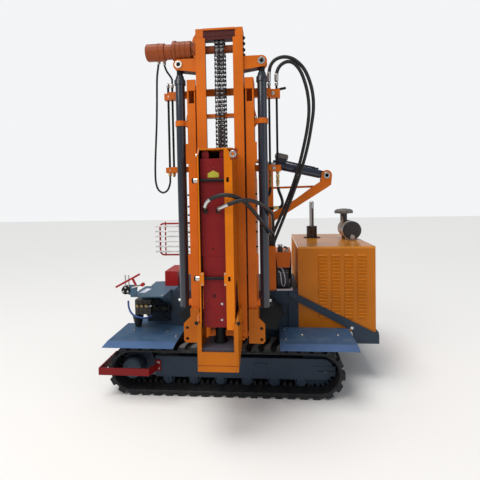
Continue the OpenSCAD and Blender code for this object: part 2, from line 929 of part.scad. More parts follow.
module leader_side() {
    rail_in = leader_half - rail_w;
    ear_low = ear_z - ear_r;
    ear_foot = 2683;
    skin_end = lift_off - 36;
    color(orange) {
        box(rail_in, leader_half, leader_y - rail_d / 2, leader_y + rail_d / 2, leader_z, leader_top);
        box(strip_half, leader_half, leader_y - rail_d / 2 - strip_t, leader_y - rail_d / 2,
            leader_z + 20, leader_top - 75);
        // Shoes that run in the guide's channel
        for (z = [leader_z + 60, 1240])
            box(leader_half - 1, guide_half - guide_wall - run, guide_front + guide_wall + run,
                guide_mid - guide_wall - run, z, z + 150);
        // Ears for the lift cylinders' rods, closed below near the leader
        difference() {
            union() {
                for (y = [lift_y - 40, lift_y + 26])
                    plate_xz(y, y + 14) {
                        polygon([
                            [leader_half - 30, ear_foot], [leader_half, ear_foot], [lift_off,
                                ear_low], [lift_off, ear_z + ear_r],
                            [leader_half - 30, ear_z + ear_r]
                        ]);
                        translate([lift_off, ear_z])
                            circle(r = ear_r);
                    }
                plate_xz(lift_y - 39, lift_y + 39)
                    polygon([
                        [leader_half - 1, ear_foot], [skin_end, ear_low - 4], [skin_end,
                            ear_low + 8], [leader_half - 1, ear_foot + 12]
                    ]);
            }
            bar_y(ear_pin_d + 2 * run, lift_y - 50, lift_y + 50, lift_off, ear_z);
        }
    }
}

// Bores in the rails for the shafts of the two sprockets
module shaft_bores() {
    for (z = [head_z, tail_z])
        bar_x(shaft_d + 2 * run, -leader_half - 1, leader_half + 1, leader_y, z);
}

module leader_frame() {
    difference() {
        for (side = [-1, 1])
            mast_side(side)
                leader_side();
        translate([mast_x, 0, 0])
            shaft_bores();
    }
    translate([mast_x, 0, 0])
        color(orange) {
            for (z = [[leader_z, 50], [1000, 60], [1600, 60], [2340, 26]])
                box(-leader_half + 1, leader_half - 1, leader_y - 25, leader_y + 25, z[0], z[0] + z[1]);
            // Head plate, with an apron down its front between the rails
            box(-leader_half + 1, leader_half - 1, leader_y - rail_d / 2, leader_y + rail_d / 2,
                leader_top - 60, leader_top - 8);
            box(-leader_half + rail_w - 1, leader_half - rail_w + 1, leader_y - rail_d / 2 + 2,
                leader_y - rail_d / 2 + 9, leader_top - 84, leader_top - 59);
        }
}

module lift_rods() {
    for (side = [-1, 1])
        mast_side(side)
            color(silver) {
                bar_z(rod_d, 990, ear_z - 20, lift_off, lift_y);
                difference() {
                    bar_y(66, lift_y - 25, lift_y + 25, lift_off, ear_z);
                    bar_y(ear_pin_d + 2 * run, lift_y - 26, lift_y + 26, lift_off, ear_z);
                }
                bar_y(ear_pin_d, lift_y - 46, lift_y + 46, lift_off, ear_z);
                bar_y(56, lift_y - 49, lift_y - 40.3, lift_off, ear_z);
            }
}

// Radius and place along the mast's X of the gearbox and its motor, revolved about the head shaft
gearbox_profile = [
    [0, -578], [58, -578], [65, -570], [65, -432], [56, -430], [56, -362], [79, -362], [79, -339], [73,
        -339],
    [73, -306], [70, -304], [70, -296], [73, -294], [73, -266], [70, -264], [70, -256], [73, -254], [73,
        -222],
    [58, -218], [58, -200], [0, -200]
];

module chain_drive() {
    flange_d = 160;
    flange_t = 21;
    tube_half = leader_half - rail_w - run;
    translate([mast_x, 0, 0]) {
        color(orange) {
            translate([0, leader_y, head_z])
                rotate([0, 90, 0])
                    rotate_extrude()
                        polygon(gearbox_profile);
            translate([-leader_half - flange_t, leader_y, head_z])
                rotate([0, 90, 0])
                    rotate([0, 0, 22.5])
                        cylinder(d = flange_d, h = flange_t, $fn = 8);
            bar_x(58, -tube_half, tube_half, leader_y, head_z);
        }
        color(silver) {
            for (z = [head_z, tail_z])
                bar_x(shaft_d, -leader_half, leader_half, leader_y, z);
            for (z = [head_z, tail_z])
                bar_x(2 * ((sprocket_r - chain_in) * cos(chain_step / 2) - run), -30, 30, leader_y, z);
        }
    }
}

// The chain's loop seen from its side: y across the machine, z up
function chain_point(s, h) =
    let(run_len = head_z - tail_z, bend = PI * sprocket_r, total = 2 * (run_len + bend), p = s % total,
        r = sprocket_r + h)
    p < run_len ? [-r, tail_z + p]
    : p < run_len + bend ? let(a = 180 - (p - run_len) / sprocket_r * 180 / PI) [r * cos(a),
        head_z + r * sin(a)]
    : p < 2 * run_len + bend ? [r, head_z - (p - run_len - bend)]
    : let(a = -(p - 2 * run_len - bend) / sprocket_r * 180 / PI) [r * cos(a), tail_z + r * sin(a)];

module hoist_chain() {
    total = 2 * (head_z - tail_z + PI * sprocket_r);
    links = round(total / link_pitch);
    pitch = total / links;
    r = sprocket_r - chain_in;
    inner = concat(
        [for (a = [0 : chain_step : 180]) [-r * cos(a), head_z + r * sin(a)]],
        [for (a = [0 : chain_step : 180]) [r * cos(a), tail_z - r * sin(a)]]
    );
    color(silver)
        plate_yz(mast_x - chain_w / 2, mast_x + chain_w / 2)
            translate([leader_y, 0])
                difference() {
                    polygon([
                        for (i = [0 : links - 1]) each [chain_point(i * pitch, 3), chain_point((i + 0.5) * pitch, chain_out)]
                    ]);
                    polygon(inner);
                }
}

module carriage_side() {
    front = -hammer_y;
    color(orange) {
        plate_yz(carriage_half - side_t, carriage_half)
            polygon([
                [front, carriage_z], [front + 50, carriage_z], [front + 75, arm_z - 60], [carriage_back,
                    arm_z],
                [carriage_back, carriage_top], [front + 45, carriage_top], [front, carriage_top - 49]
            ]);
        // Shoes that grip the leader's guide strips
        for (z = [carriage_z + 100, carriage_top - 200])
            difference() {
                box(78, carriage_half, carriage_back - 1, -1034, z, z + shoe_h);
                box(strip_half - run, carriage_half + 1, leader_y - rail_d / 2 - strip_t - run,
                    leader_y - rail_d / 2 + run, z - 1, z + shoe_h + 1);
                box(leader_half - rail_w - 1, carriage_half + 1, leader_y - rail_d / 2 - 1, -1033, z - 1,
                    z + shoe_h + 1);
            }
    }
}

module hammer_carriage() {
    front = -hammer_y;
    flange_in = 64;
    rod_z = [1162, 1838];
    for (side = [-1, 1])
        mast_side(side)
            carriage_side();
    translate([mast_x, 0, 0]) {
        color(orange) {
            box(-carriage_half + 1, carriage_half - 1, carriage_back - 15, carriage_back, carriage_z,
                carriage_top);
            box(-carriage_half + 1, carriage_half - 1, front + 45, carriage_back, carriage_top - 12,
                carriage_top);
            // Front flange with slots for the tie rods' ends
            difference() {
                plate_xz(front, front + 12)
                    polygon([
                        [flange_in, carriage_z], [carriage_half, carriage_z], [carriage_half,
                            carriage_top - 49],
                        [flange_in + 10, carriage_top - 4], [flange_in, carriage_top - 4]
                    ]);
                for (z = rod_z)
                    box(78, 96, front - 1, front + 13, z - 15, z + 18);
            }
            // Clips that hold the housing's seam
            box(-carriage_half + 1, -89, front + 2, front + 12, rod_z[0] - 46, rod_z[0] + 46);
            box(51, flange_in + 1, front + 2, front + 12, rod_z[0] - 46, rod_z[0] + 46);
        }
        color(black)
            for (z = rod_z)
                bar_x(20, -carriage_half - 38, carriage_half - side_t + 1, front + 30, z);
        color(silver)
            for (z = rod_z)
                bar_x(34, -carriage_half - 36, -carriage_half + 1, front + 30, z);
    }
}

module hammer_housing() {
    upper_half = carriage_half - side_t - 2;
    lower_half = upper_half - 5;
    y0 = -hammer_y + 45;
    y1 = carriage_back - 16;
    translate([mast_x, 0, 0])
        color(crimson) {
            box(-lower_half, lower_half, y0 + 3, y1, carriage_z + 2, housing_seam + 1);
            box(-upper_half, upper_half, y0, y1, housing_seam, housing_top);
            // Lugs at the head
            for (x = [-98, 26]) {
                box(x, x + 49, y0 + 20, y0 + 45, housing_top - 1, 2022);
                bar_y(49, y0 + 20, y0 + 45, x + 24.5, 2022);
            }
        }
}

module chisel() {
    y = -hammer_y + 145;
    plate_top = anvil_z + anvil_h;
    color(dark_grey)
        translate([mast_x, y, 0])
            rotate_extrude()
                polygon([
                    [0, plate_top - 1], [48, plate_top - 1], [chisel_d / 2, plate_top + 44],
                    [chisel_d / 2, carriage_z + 2], [0, carriage_z + 2]
                ]);
    color(dark_grey)
        translate([mast_x, 0, anvil_z])
            linear_extrude(anvil_h)
                polygon([
                    [-anvil_half, -1380], [anvil_half, -1380], [anvil_half, -1170], [anvil_half - 40,
                        -1130],
                    [40 - anvil_half, -1130], [-anvil_half, -1170]
                ]);
}

module pile_cage() {
    front = -hammer_y - 8;
    plate_top = 659;
    bend_z = 558;
    color(orange) {
        for (side = [-1, 1])
            mast_side(side) {
                plate_yz(cage_half - cage_t, cage_half)
                    polygon([
                        [-1100, cage_z + 100], [front, cage_z], [front, cage_top - 45], [front + 40, cage_top],
                        [-1100, cage_top]
                    ]);
                box(cage_half - 30, cage_half, front, front + 8, cage_z, cage_top - 45);
                // Pads to the carriage's arms and to the anvil plate
                box(carriage_half, cage_half - cage_t + 1, -1382, -1345, carriage_z + 10, cage_top - 20);
                box(anvil_half, cage_half - cage_t + 1, -1240, -1180, anvil_z + 5, anvil_z + 35);
            }
        translate([mast_x, 0, 0])
            plate_xz(front - 2, front + cage_t - 2)
                polygon([
                    [-cage_half + 8, plate_top], [-cage_half + 8, bend_z], [-cage_half + 30, cage_z],
                    [cage_half - 30, cage_z], [cage_half - 8, bend_z], [cage_half - 8, plate_top]
                ]);
    }
}

// A frame whose Z axis runs from the horn's pin to the rod's eye
module along_tilt() {
    translate([horn_x, cyl_y, horn_z])
        rotate([0, -tilt_slope, 0])
            children();
}

module tilt_barrel() {
    color(black)
        along_tilt()
            difference() {
                union() {
                    bar_z(tilt_barrel_d, 58, 490, 0, 0);
                    bar_z(tilt_barrel_d + 8, 489, 518, 0, 0);
                    bar_y(84, -20, 20, 0, 0);
                    box(-35, 35, -18, 18, 20, 62);
                    // Valve block on the barrel, and the pipe to its other end
                    box(28, 62, -22, 22, 395, 500);
                    box(61, 97, -20, 20, 402, 492);
                    bar_z(12, 92, 396, 48, 0);
                    box(30, 54, -8, 8, 84, 102);
                }
                bar_z(tilt_rod_d + 14, 75, 480, 0, 0);
                bar_z(tilt_rod_d + 2 * run, 479, 519, 0, 0);
                bar_y(tilt_pin_d + 2 * run, -21, 21, 0, 0);
            }
    color(silver)
        bar_y(tilt_pin_d, cyl_y - 45, cyl_y + 45, horn_x, horn_z);
}

module tilt_rod() {
    color(silver)
        along_tilt()
            difference() {
                union() {
                    bar_z(tilt_rod_d, 240, tilt_len - 30, 0, 0);
                    bar_y(84, -20, 20, 0, tilt_len);
                }
                bar_y(open_eye_d, -21, 21, 0, tilt_len);
            }
}

// Smooth route through hand-set points
function route_at(pts, i, t) =
    let(
        n = len(pts),
        a = pts[max(i - 1, 0)],
        b = pts[i],
        c = pts[min(i + 1, n - 1)],
        d = pts[min(i + 2, n - 1)]
    )
    0.5 * (2 * b + (c - a) * t + (2 * a - 5 * b + 4 * c - d) * t * t + (3 * b - a - 3 * c + d) * t * t * t);

function smooth_route(pts, steps) = concat(
    [for (i = [0 : len(pts) - 2]) for (k = [0 : steps - 1]) route_at(pts, i, k / steps)],
    [pts[len(pts) - 1]]
);

function unit(v) = v / norm(v);

module hose(pts, d, steps) {
    sides = 8;
    p = smooth_route(pts, steps);
    n = len(p);
    ring = function (i)
        let(
            t = unit(p[min(i + 1, n - 1)] - p[max(i - 1, 0)]),
            u = unit(cross(t, [0.1, 1, 0.05])),
            v = cross(t, u)
        )
        [for (k = [0 : sides - 1]) p[i] + d / 2 * (u * cos(360 * k / sides) + v * sin(360 * k / sides))];
    points = [for (i = [0 : n - 1]) each ring(i)];
    skin = [for (i = [0 : n - 2]) for (k = [0 : sides - 1])
        let(a = i * sides + k, b = i * sides + (k + 1) % sides)
        each [[a, b + sides, b], [a, a + sides, b + sides]]];
    caps = [[for (k = [0 : sides - 1]) k], [for (k = [sides - 1 : -1 : 0]) (n - 1) * sides + k]];
    color(rubber)
        polyhedron(points = points, faces = concat(skin, caps), convexity = 8);
}

hammer_hose_a_route = [
    [-20, -1358, 1626], [-14, -1386, 1658], [8, -1412, 1694], [61, -1432, 1724], [129, -1440, 1735],
    [199, -1430, 1721], [256, -1388, 1684], [308, -1290, 1620], [354, -1180, 1550], [394, -1095, 1490],
    [423, -1045, 1458], [434, -985, 1442], [430, -900, 1437], [418, -790, 1430], [409, -680, 1410],
    [408, -580, 1378], [407, -490, 1340], [405, -420, 1300], [402.3, -396, 1250], [402.3, -392, 1205],
    [402.3, -392, 1170]
];
hammer_hose_b_route = [
    [67, -1368, 1628], [78, -1395, 1640], [104, -1422, 1653], [163, -1448, 1676], [229, -1448, 1696],
    [292, -1420, 1696], [350, -1330, 1675], [400, -1180, 1636], [434, -1000, 1590], [437, -880, 1568],
    [440, -740, 1530], [441, -620, 1486], [441, -535, 1440], [441, -475, 1388], [441, -428, 1330],
    [441, -402, 1280], [444.7, -396, 1225], [444.7, -396, 1170]
];
loop_hose_a_route = [
    [425, -860, 2641], [426, -860, 2700], [441, -860, 2768], [478, -856, 2812], [530, -850, 2832],
    [585, -843, 2830], [643, -830, 2806], [707, -810, 2746], [754, -785, 2652], [782, -750, 2550],
    [789, -710, 2437], [776, -670, 2322], [752, -630, 2177], [712, -580, 2013], [648, -520, 1816],
    [568, -462, 1602], [498, -405, 1425], [456, -374, 1320], [442, -358, 1262], [440, -353, 1215],
    [440, -353, 1170]
];
loop_hose_b_route = [
    [485, -860, 2641], [486, -860, 2690], [500, -862, 2738], [533, -860, 2776], [580, -852, 2794],
    [630, -838, 2780], [680, -815, 2724], [720, -780, 2632], [745, -742, 2530], [753, -702, 2420],
    [742, -658, 2300], [716, -612, 2160], [676, -560, 1995], [614, -500, 1800], [536, -446, 1600],
    [466, -400, 1440], [422, -372, 1330], [408, -360, 1265], [406, -355, 1215], [406, -355, 1170]
];
motor_hose_a_route = [
    [-440, -960, 2800], [-455, -930, 2770], [-475, -900, 2700], [-485, -880, 2600], [-492, -868,
        2480], [-500, -862, 2330],
    [-510, -860, 2180], [-518, -860, 2050], [-522, -860, 1930], [-518, -860, 1850], [-498, -860,
        1795], [-460, -860, 1772],
    [-422, -860, 1792], [-400, -860, 1845], [-397, -860, 1899]
];
motor_hose_b_route = [
    [-400, -945, 2798], [-401, -925, 2775], [-395, -895, 2748], [-377, -870, 2720], [-363, -860, 2692],
    [-363, -860, 2661]
];

module hammer_hose_a() {
    hose(hammer_hose_a_route, hose_d, 2);
}

module hammer_hose_b() {
    hose(hammer_hose_b_route, hose_d, 2);
}

module loop_hose_a() {
    hose(loop_hose_a_route, hose_d, 2);
}

module loop_hose_b() {
    hose(loop_hose_b_route, hose_d, 2);
}

module motor_hose_a() {
    hose(motor_hose_a_route, small_hose_d, 2);
}

module motor_hose_b() {
    hose(motor_hose_b_route, small_hose_d, 2);
}

track_left();
track_right();
track_frame_left();
track_frame_right();
track_wheels_left();
track_wheels_right();
carbody();
main_frame();
mast_carrier();
step_plate_front();
step_plate_rear();
hood_front();
hood_back();
hood_inner();
hood_outer();
hood_top();
hood_base();
engine_block();
exhaust();
air_cleaner();
oil_tank();
battery();
tool_box();
control_table();
control_levers();
control_valve();
guard_rail();
track_guard();
tilt_post();
mast_guide();
lift_barrel_left();
lift_barrel_right();
pipes_left();
pipes_right();
leader_frame();
lift_rods();
chain_drive();
hoist_chain();
hammer_carriage();
hammer_housing();
chisel();
pile_cage();
tilt_barrel();
tilt_rod();
hammer_hose_a();
hammer_hose_b();
loop_hose_a();
loop_hose_b();
motor_hose_a();
motor_hose_b();
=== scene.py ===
"""Looks of the crawler pile driver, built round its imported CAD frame. Metres, in the frame's axes."""

from math import cos, pi, radians, sin

import bmesh
import bpy
from mathutils import Matrix, Vector


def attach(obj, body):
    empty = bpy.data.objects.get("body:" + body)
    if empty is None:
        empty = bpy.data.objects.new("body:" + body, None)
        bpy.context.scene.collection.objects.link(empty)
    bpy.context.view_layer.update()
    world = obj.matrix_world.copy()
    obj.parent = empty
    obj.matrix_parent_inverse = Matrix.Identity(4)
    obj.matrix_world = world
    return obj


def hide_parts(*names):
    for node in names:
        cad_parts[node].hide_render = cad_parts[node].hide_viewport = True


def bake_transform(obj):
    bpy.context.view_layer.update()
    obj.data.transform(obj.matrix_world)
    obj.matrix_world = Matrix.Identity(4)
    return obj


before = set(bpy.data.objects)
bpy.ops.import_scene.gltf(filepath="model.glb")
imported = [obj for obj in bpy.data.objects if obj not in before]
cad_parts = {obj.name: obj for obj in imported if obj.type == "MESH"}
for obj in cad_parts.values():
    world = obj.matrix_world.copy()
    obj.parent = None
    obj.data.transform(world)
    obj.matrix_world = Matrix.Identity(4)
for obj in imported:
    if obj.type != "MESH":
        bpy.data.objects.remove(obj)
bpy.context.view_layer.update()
scene = bpy.context.scene

# Camera, solved from the photograph's vanishing points and the length of the track
CAMERA_PLACE = (0.45, -3.94, 1.7)
CAMERA_TURN = (5.1, 2.03, 1.0)  # Yaw, pitch and roll, degrees
PICTURE_SIDE = 480
FOCAL_PIXELS = 380
AXIS_ROW = 213.5
SENSOR_MM = 36

# Colours that more than one material uses, linear
AMBER = (0.66, 0.17, 0.0005)
HOOD_ORANGE = (0.49, 0.145, 0.005)
RED = (0.36, 0.012, 0.014)
DUST = (0.3, 0.27, 0.23)
RUBBER_BLOOM = (0.085, 0.088, 0.092)
RUBBED_PLATE = (0.115, 0.165, 0.24)

# Places that the CAD model sets
MAST_X = 0.055
TRACK_LEN, TRACK_H, TRACK_W, TRACK_Y = 2.06, 0.43, 0.3, 0.6
LUG_H, BELT_T, LUG_COUNT = 0.025, 0.025, 42
WHEEL_X = TRACK_LEN / 2 - TRACK_H / 2
BELT_R = TRACK_H / 2 - LUG_H
TRACK_LOOP = 4 * WHEEL_X + 2 * pi * BELT_R
BEAM_FACE = 0.652
ROLLER_COUNT, ROLLER_PITCH, ROLLER_MID = 6, 0.237, 0.074
LEADER_Y, LEADER_HALF = -0.99, 0.18
HEAD_Z, TAIL_Z, SPROCKET_R = 2.862, 0.765, 0.06
CHAIN_PITCH = 0.03175
HOOD_X, HOOD_Y = 0.67, -0.33
PIPE_Y = -0.86
LIFT_OFF, LIFT_Y, EAR_Z = 0.318, -1.0, 2.745
HAMMER_FRONT, HOUSING_FRONT = -1.39, -1.345
TIE_RODS = (1.162, 1.838)
TILT_HORN, TILT_EYE = Vector((0.946, -0.29, 1.917)), Vector((0.245, -0.29, 2.08))
STEP_Z, TABLE_Z = 0.48, 0.842
LOUVRE_COLUMNS, LOUVRE_ROWS = 4, 19
HOSE_STEPS = 5

PLATE_WIDTH = 0.012  # A flat region wider than this is shaded plain
FRONT, UP, DOWN, LEFT, RIGHT = (0, -1, 0), (0, 0, 1), (0, 0, -1), (-1, 0, 0), (1, 0, 0)
SIDES = (-1, 1)


def scaled(colour, factor):
    return tuple(c * factor for c in colour)


def add_node(tree, kind, inputs=None, **settings):
    node = tree.nodes.new(kind)
    for key, value in settings.items():
        setattr(node, key, value)
    feed(tree, node, inputs or {})
    return node


def feed(tree, node, inputs):
    """Link each input to the socket given for it, or set it to the value."""
    for key, value in inputs.items():
        if isinstance(value, bpy.types.NodeSocket):
            tree.links.new(value, node.inputs[key])
        else:
            node.inputs[key].default_value = value


class Look:
    """A procedural material on the object's own coordinates."""

    def __init__(self, name):
        self.material = bpy.data.materials.new(name)
        self.material.use_nodes = True
        self.tree = self.material.node_tree
        self.place = self.node("ShaderNodeTexCoord").outputs["Object"]

    def node(self, kind, inputs=None, **settings):
        return add_node(self.tree, kind, inputs, **settings)

    def noise(self, scale, detail=3):
        inputs = {"Vector": self.place, "Scale": scale, "Detail": detail}
        return self.node("ShaderNodeTexNoise", inputs).outputs["Fac"]

    def spread(self, value, low=0, high=1, start=0.3, end=0.7):
        """The value's range from start to end, spread from low to high."""
        inputs = {"Value": value, "From Min": start, "From Max": end, "To Min": low, "To Max": high}
        return self.node("ShaderNodeMapRange", inputs).outputs["Result"]

    def blend(self, factor, a, b):
        """A colour between two that are sockets or values."""
        a, b = (c if isinstance(c, bpy.types.NodeSocket) else (*c, 1) for c in (a, b))
        return self.node("ShaderNodeMix", {"Factor": factor, 6: a, 7: b}, data_type="RGBA").outputs[2]

    def toned(self, colour, scale, low, high):
        """The colour with slow changes of tone."""
        return self.blend(self.spread(self.noise(scale)), scaled(colour, low), scaled(colour, high))

    def product(self, a, b):
        return self.node("ShaderNodeMath", {0: a, 1: b}, operation="MULTIPLY").outputs[0]

    def upward(self):
        """How far a surface faces up, from 0 to 1."""
        normal = self.node("ShaderNodeNewGeometry").outputs["Normal"]
        height = self.node("ShaderNodeSeparateXYZ", {"Vector": normal}).outputs["Z"]
        return self.spread(height, 0, 1, 0.35, 0.95)

    def relief(self, height, strength, distance, rounding):
        """A normal with fine relief, and with edges that look rounded."""
        bevel = self.node("ShaderNodeBevel", {"Radius": rounding}, samples=4)
        inputs = {"Height": height, "Strength": strength, "Distance": distance, "Normal": bevel.outputs["Normal"]}
        return self.node("ShaderNodeBump", inputs).outputs["Normal"]

    def done(self, colour, roughness, normal=None, specular=0.5, coat=0, coat_roughness=0.03, metallic=0):
        """The material, once its shader's inputs are fed."""
        inputs = {"Base Color": colour, "Roughness": roughness, "Specular IOR Level": specular, "Coat Weight": coat,
                  "Coat Roughness": coat_roughness, "Metallic": metallic}
        if normal:
            inputs["Normal"] = normal
        feed(self.tree, self.tree.nodes["Principled BSDF"], inputs)
        return self.material


def paint(name, colour, roughness=0.36, dust=0.35, coat=0.08, peel=0.1):
    """Sprayed paint: slow changes of tone, orange peel, softened edges and dust on what faces up."""
    look = Look(name)
    base = look.toned(colour, 3.5, 0.88, 1.08)
    specks = look.spread(look.noise(90, 6), 0, 1, 0.5, 0.72)
    dirt = look.product(look.product(look.upward(), specks), dust)
    rough = look.spread(look.noise(40, 5), roughness - 0.07, roughness + 0.1)
    normal = look.relief(look.noise(420, 2), peel, 0.0006, 0.0025)
    return look.done(look.blend(dirt, base, DUST), rough, normal, specular=0.15, coat=coat, coat_roughness=0.25)


def gloss(name, colour):
    """Smooth hard paint of the cylinders, which mirrors the lamps as long streaks."""
    look = Look(name)
    return look.done(look.toned(colour, 3, 0.8, 1.2), 0.2, specular=0.35, coat=0.5, coat_roughness=0.1)


def bare_metal(name, colour, roughness=0.3, stain=(0.1, 0.07, 0.05), stained=0.25):
    """Bare steel with fine scratches and stains."""
    look = Look(name)
    stains = look.spread(look.noise(30, 6), 0, stained, 0.45, 0.7)
    rough = look.spread(look.noise(160, 4), roughness - 0.08, roughness + 0.12)
    normal = look.relief(look.noise(600, 2), 0.08, 0.0004, 0.0012)
    return look.done(look.blend(stains, colour, stain), rough, normal, metallic=1)


def rubber_skin(name, colour, roughness=0.62, grey=0.35, scale=26):
    """Rubber with a grey bloom of dust in patches."""
    look = Look(name)
    bloom = look.spread(look.noise(scale, 7), 0, grey, 0.42, 0.75)
    rough = look.spread(look.noise(120, 4), roughness - 0.1, roughness + 0.15)
    normal = look.relief(look.noise(300, 4), 0.25, 0.001, 0.002)
    return look.done(look.blend(bloom, colour, RUBBER_BLOOM), rough, normal, specular=0.3)


def checker_steel(name, colour):
    """Painted floor plate with a fine raised pattern and rubbed grey tracks of boots."""
    look = Look(name)
    rubbed = look.spread(look.noise(9, 8), 0, 0.55, 0.45, 0.75)
    rough = look.spread(look.noise(60, 5), 0.42, 0.62)
    inputs = {"Vector": look.place, "Scale": 26}
    waves = [look.node("ShaderNodeTexWave", inputs, bands_direction=axis).outputs["Fac"] for axis in "XY"]
    grooves = look.spread(waves[0], 0, 0.35, 0, 1)
    skin = look.blend(grooves, look.blend(rubbed, colour, RUBBED_PLATE), scaled(colour, 0.45))
    return look.done(skin, rough, look.relief(look.product(*waves), 0.45, 0.0015, 0.0015), specular=0.3)


def plastic(name, colour, roughness=0.45):
    look = Look(name)
    rough = look.spread(look.noise(70, 4), roughness - 0.08, roughness + 0.1)
    normal = look.relief(look.noise(500, 2), 0.15, 0.0005, 0.0015)
    return look.done(look.toned(colour, 12, 0.8, 1.4), rough, normal)


# Each with its colour and its roughness
orange = paint("orange_paint", (0.6, 0.13, 0.006))
deep_orange = paint("deep_orange_paint", (0.24, 0.034, 0.008), 0.5, coat=0)
amber = paint("amber_paint", AMBER, 0.32)
# A darker copy of the amber for the pile cage and the guide's foot: painted shade
shaded_cage_amber = paint("shaded_cage_amber_paint", scaled(AMBER, 0.72), 0.32)
# A darker amber for the carriage's right side plate: painted shade
shaded_side_amber = paint("shaded_side_amber_paint", (0.39, 0.08, 0.001), coat=0)
# Dark red for the leader's recessed head panel and its rails' shaded faces: painted shade
shaded_panel_red = paint("shaded_panel_red_paint", (0.075, 0.017, 0.016), 0.5, coat=0)
# Dark brown for the strip in the gap beside the leader's rail: painted shade
gap_shade_brown = paint("gap_shade_strip", (0.05, 0.018, 0.01), 0.6, coat=0)
guard_red = paint("guard_red_paint", scaled(RED, 0.55), 0.4)
cast_grey = paint("cast_grey_paint", (0.055, 0.052, 0.05), 0.42, dust=0.2)
crimson = paint("crimson_paint", (0.215, 0.009, 0.011), 0.46, dust=0.2, coat=0.05)
red = paint("red_paint", RED, 0.34)
dark_grey = paint("dark_grey_paint", (0.028, 0.043, 0.066), 0.5, dust=0.15, coat=0.05)
steel_blue = checker_steel("steel_blue_plate", (0.042, 0.098, 0.19))
table_blue = paint("table_blue_paint", (0.07, 0.135, 0.205), 0.45, dust=0.3, coat=0.05)
black_paint = paint("black_paint", (0.01, 0.011, 0.013), 0.48, dust=0.2, coat=0)
barrel_paint = gloss("barrel_paint", (0.018, 0.023, 0.036))
navy_paint = gloss("navy_paint", (0.012, 0.017, 0.038))
hood_orange = paint("hood_orange_paint", HOOD_ORANGE, 0.34)
# A lighter copy of the hood's orange for the louvres' lips: painted highlight
lit_louvre_orange = paint("lit_louvre_orange_paint", scaled(HOOD_ORANGE, 1.15), 0.34)
gear_orange = paint("gear_orange_paint", (0.27, 0.058, 0.014), 0.42)
# A brighter blue for the step plates' front lips: painted reflection of the sky
sky_sheen_blue = paint("sky_sheen_blue_paint", (0.07, 0.14, 0.29), 0.5, dust=0.1, coat=0)
anvil_grey = paint("anvil_paint", (0.07, 0.066, 0.09), 0.5, dust=0.2, coat=0)
# The hood's top in a lighter, yellower orange than its front: painted sunlight
sunlit_lid_orange = paint("sunlit_lid_orange_paint", (0.66, 0.235, 0.01), 0.16, dust=0.1, coat=0.5, peel=0.04)
# A lighter copy of the hood's orange for its inner side: painted light
lit_side_orange = paint("lit_side_orange_paint", scaled(HOOD_ORANGE, 1.25), 0.8, dust=0, coat=0)
hub_grey = paint("hub_paint", (0.05, 0.072, 0.098), 0.45, dust=0.2, coat=0)
chrome = bare_metal("rod_chrome", (0.62, 0.63, 0.65), 0.14, stained=0.08)
steel = bare_metal("bare_steel", (0.46, 0.46, 0.46), 0.34)
zinc = bare_metal("zinc_bolts", (0.56, 0.56, 0.55), 0.26, stained=0.15)
brass = bare_metal("brass_fittings", (0.62, 0.43, 0.17), 0.3, stained=0.2)
old_brass = bare_metal("old_brass", (0.3, 0.22, 0.11), 0.4, stained=0.5)
roller_steel = bare_metal("roller_steel", (0.17, 0.17, 0.18), 0.38, stained=0.3)
chain_steel = bare_metal("chain_steel", (0.055, 0.052, 0.055), 0.34, (0.02, 0.014, 0.01), 0.6)
burnt_steel = bare_metal("burnt_steel", (0.075, 0.06, 0.05), 0.45, (0.03, 0.018, 0.012), 0.9)
bronze = bare_metal("bronze_canister", (0.52, 0.41, 0.31), 0.36, stained=0.7)
dusty_rubber = rubber_skin("dusty_rubber", (0.125, 0.125, 0.12), 0.8, grey=0.6, scale=14)
track_rubber = rubber_skin("track_rubber", (0.009, 0.01, 0.012), grey=0.22)
hose_rubber = rubber_skin("hose_rubber", (0.013, 0.013, 0.015), 0.42, grey=0.15, scale=12)
black_plastic = plastic("black_plastic", (0.014, 0.014, 0.015))
grey_plastic = plastic("grey_plastic", (0.11, 0.105, 0.1), 0.55)
yellow = plastic("yellow_plate", (0.36, 0.33, 0.02), 0.4)
white = plastic("white_plate", (0.55, 0.6, 0.7), 0.4)
white_bar = plastic("white_bar", (0.66, 0.68, 0.68), 0.4)
blue_hose = plastic("blue_hose", (0.03, 0.08, 0.26), 0.4)


def add_object(name, data):
    thing = bpy.data.objects.new(name, data)
    scene.collection.objects.link(thing)
    return thing


def circle(centre, side, other, radius, count):
    """Points round a centre, in the plane of two unit vectors."""
    angles = [2 * pi * k / count for k in range(count)]
    return [centre + (side * cos(a) + other * sin(a)) * radius for a in angles]


def tube_rings(points, radius, sides):
    """Rings round a line of points, without twist. The radius is one number or one for each point."""
    points = [Vector(p) for p in points]
    last = len(points) - 1
    tangents = [(points[min(i + 1, last)] - points[max(i - 1, 0)]).normalized() for i in range(last + 1)]
    side = tangents[0].orthogonal().normalized()
    rings = []
    for i, (p, t) in enumerate(zip(points, tangents)):
        side = (side - t * side.dot(t)).normalized()
        r = radius[i] if isinstance(radius, (list, tuple)) else radius
        rings.append(circle(p, side, t.cross(side), r, sides))
    return rings


def smooth_route(points, steps):
    """Smooth line through given points, as in the CAD model."""
    points = [Vector(p) for p in points]
    last = len(points) - 1
    line = []
    for i in range(last):
        a, b, c, d = points[max(i - 1, 0)], points[i], points[i + 1], points[min(i + 2, last)]
        for k in range(steps):
            t = k / steps
            line.append(0.5 * (2 * b + (c - a) * t + (2 * a - 5 * b + 4 * c - d) * t * t
                               + (3 * b - a - 3 * c + d) * t ** 3))
    return line + [points[last]]


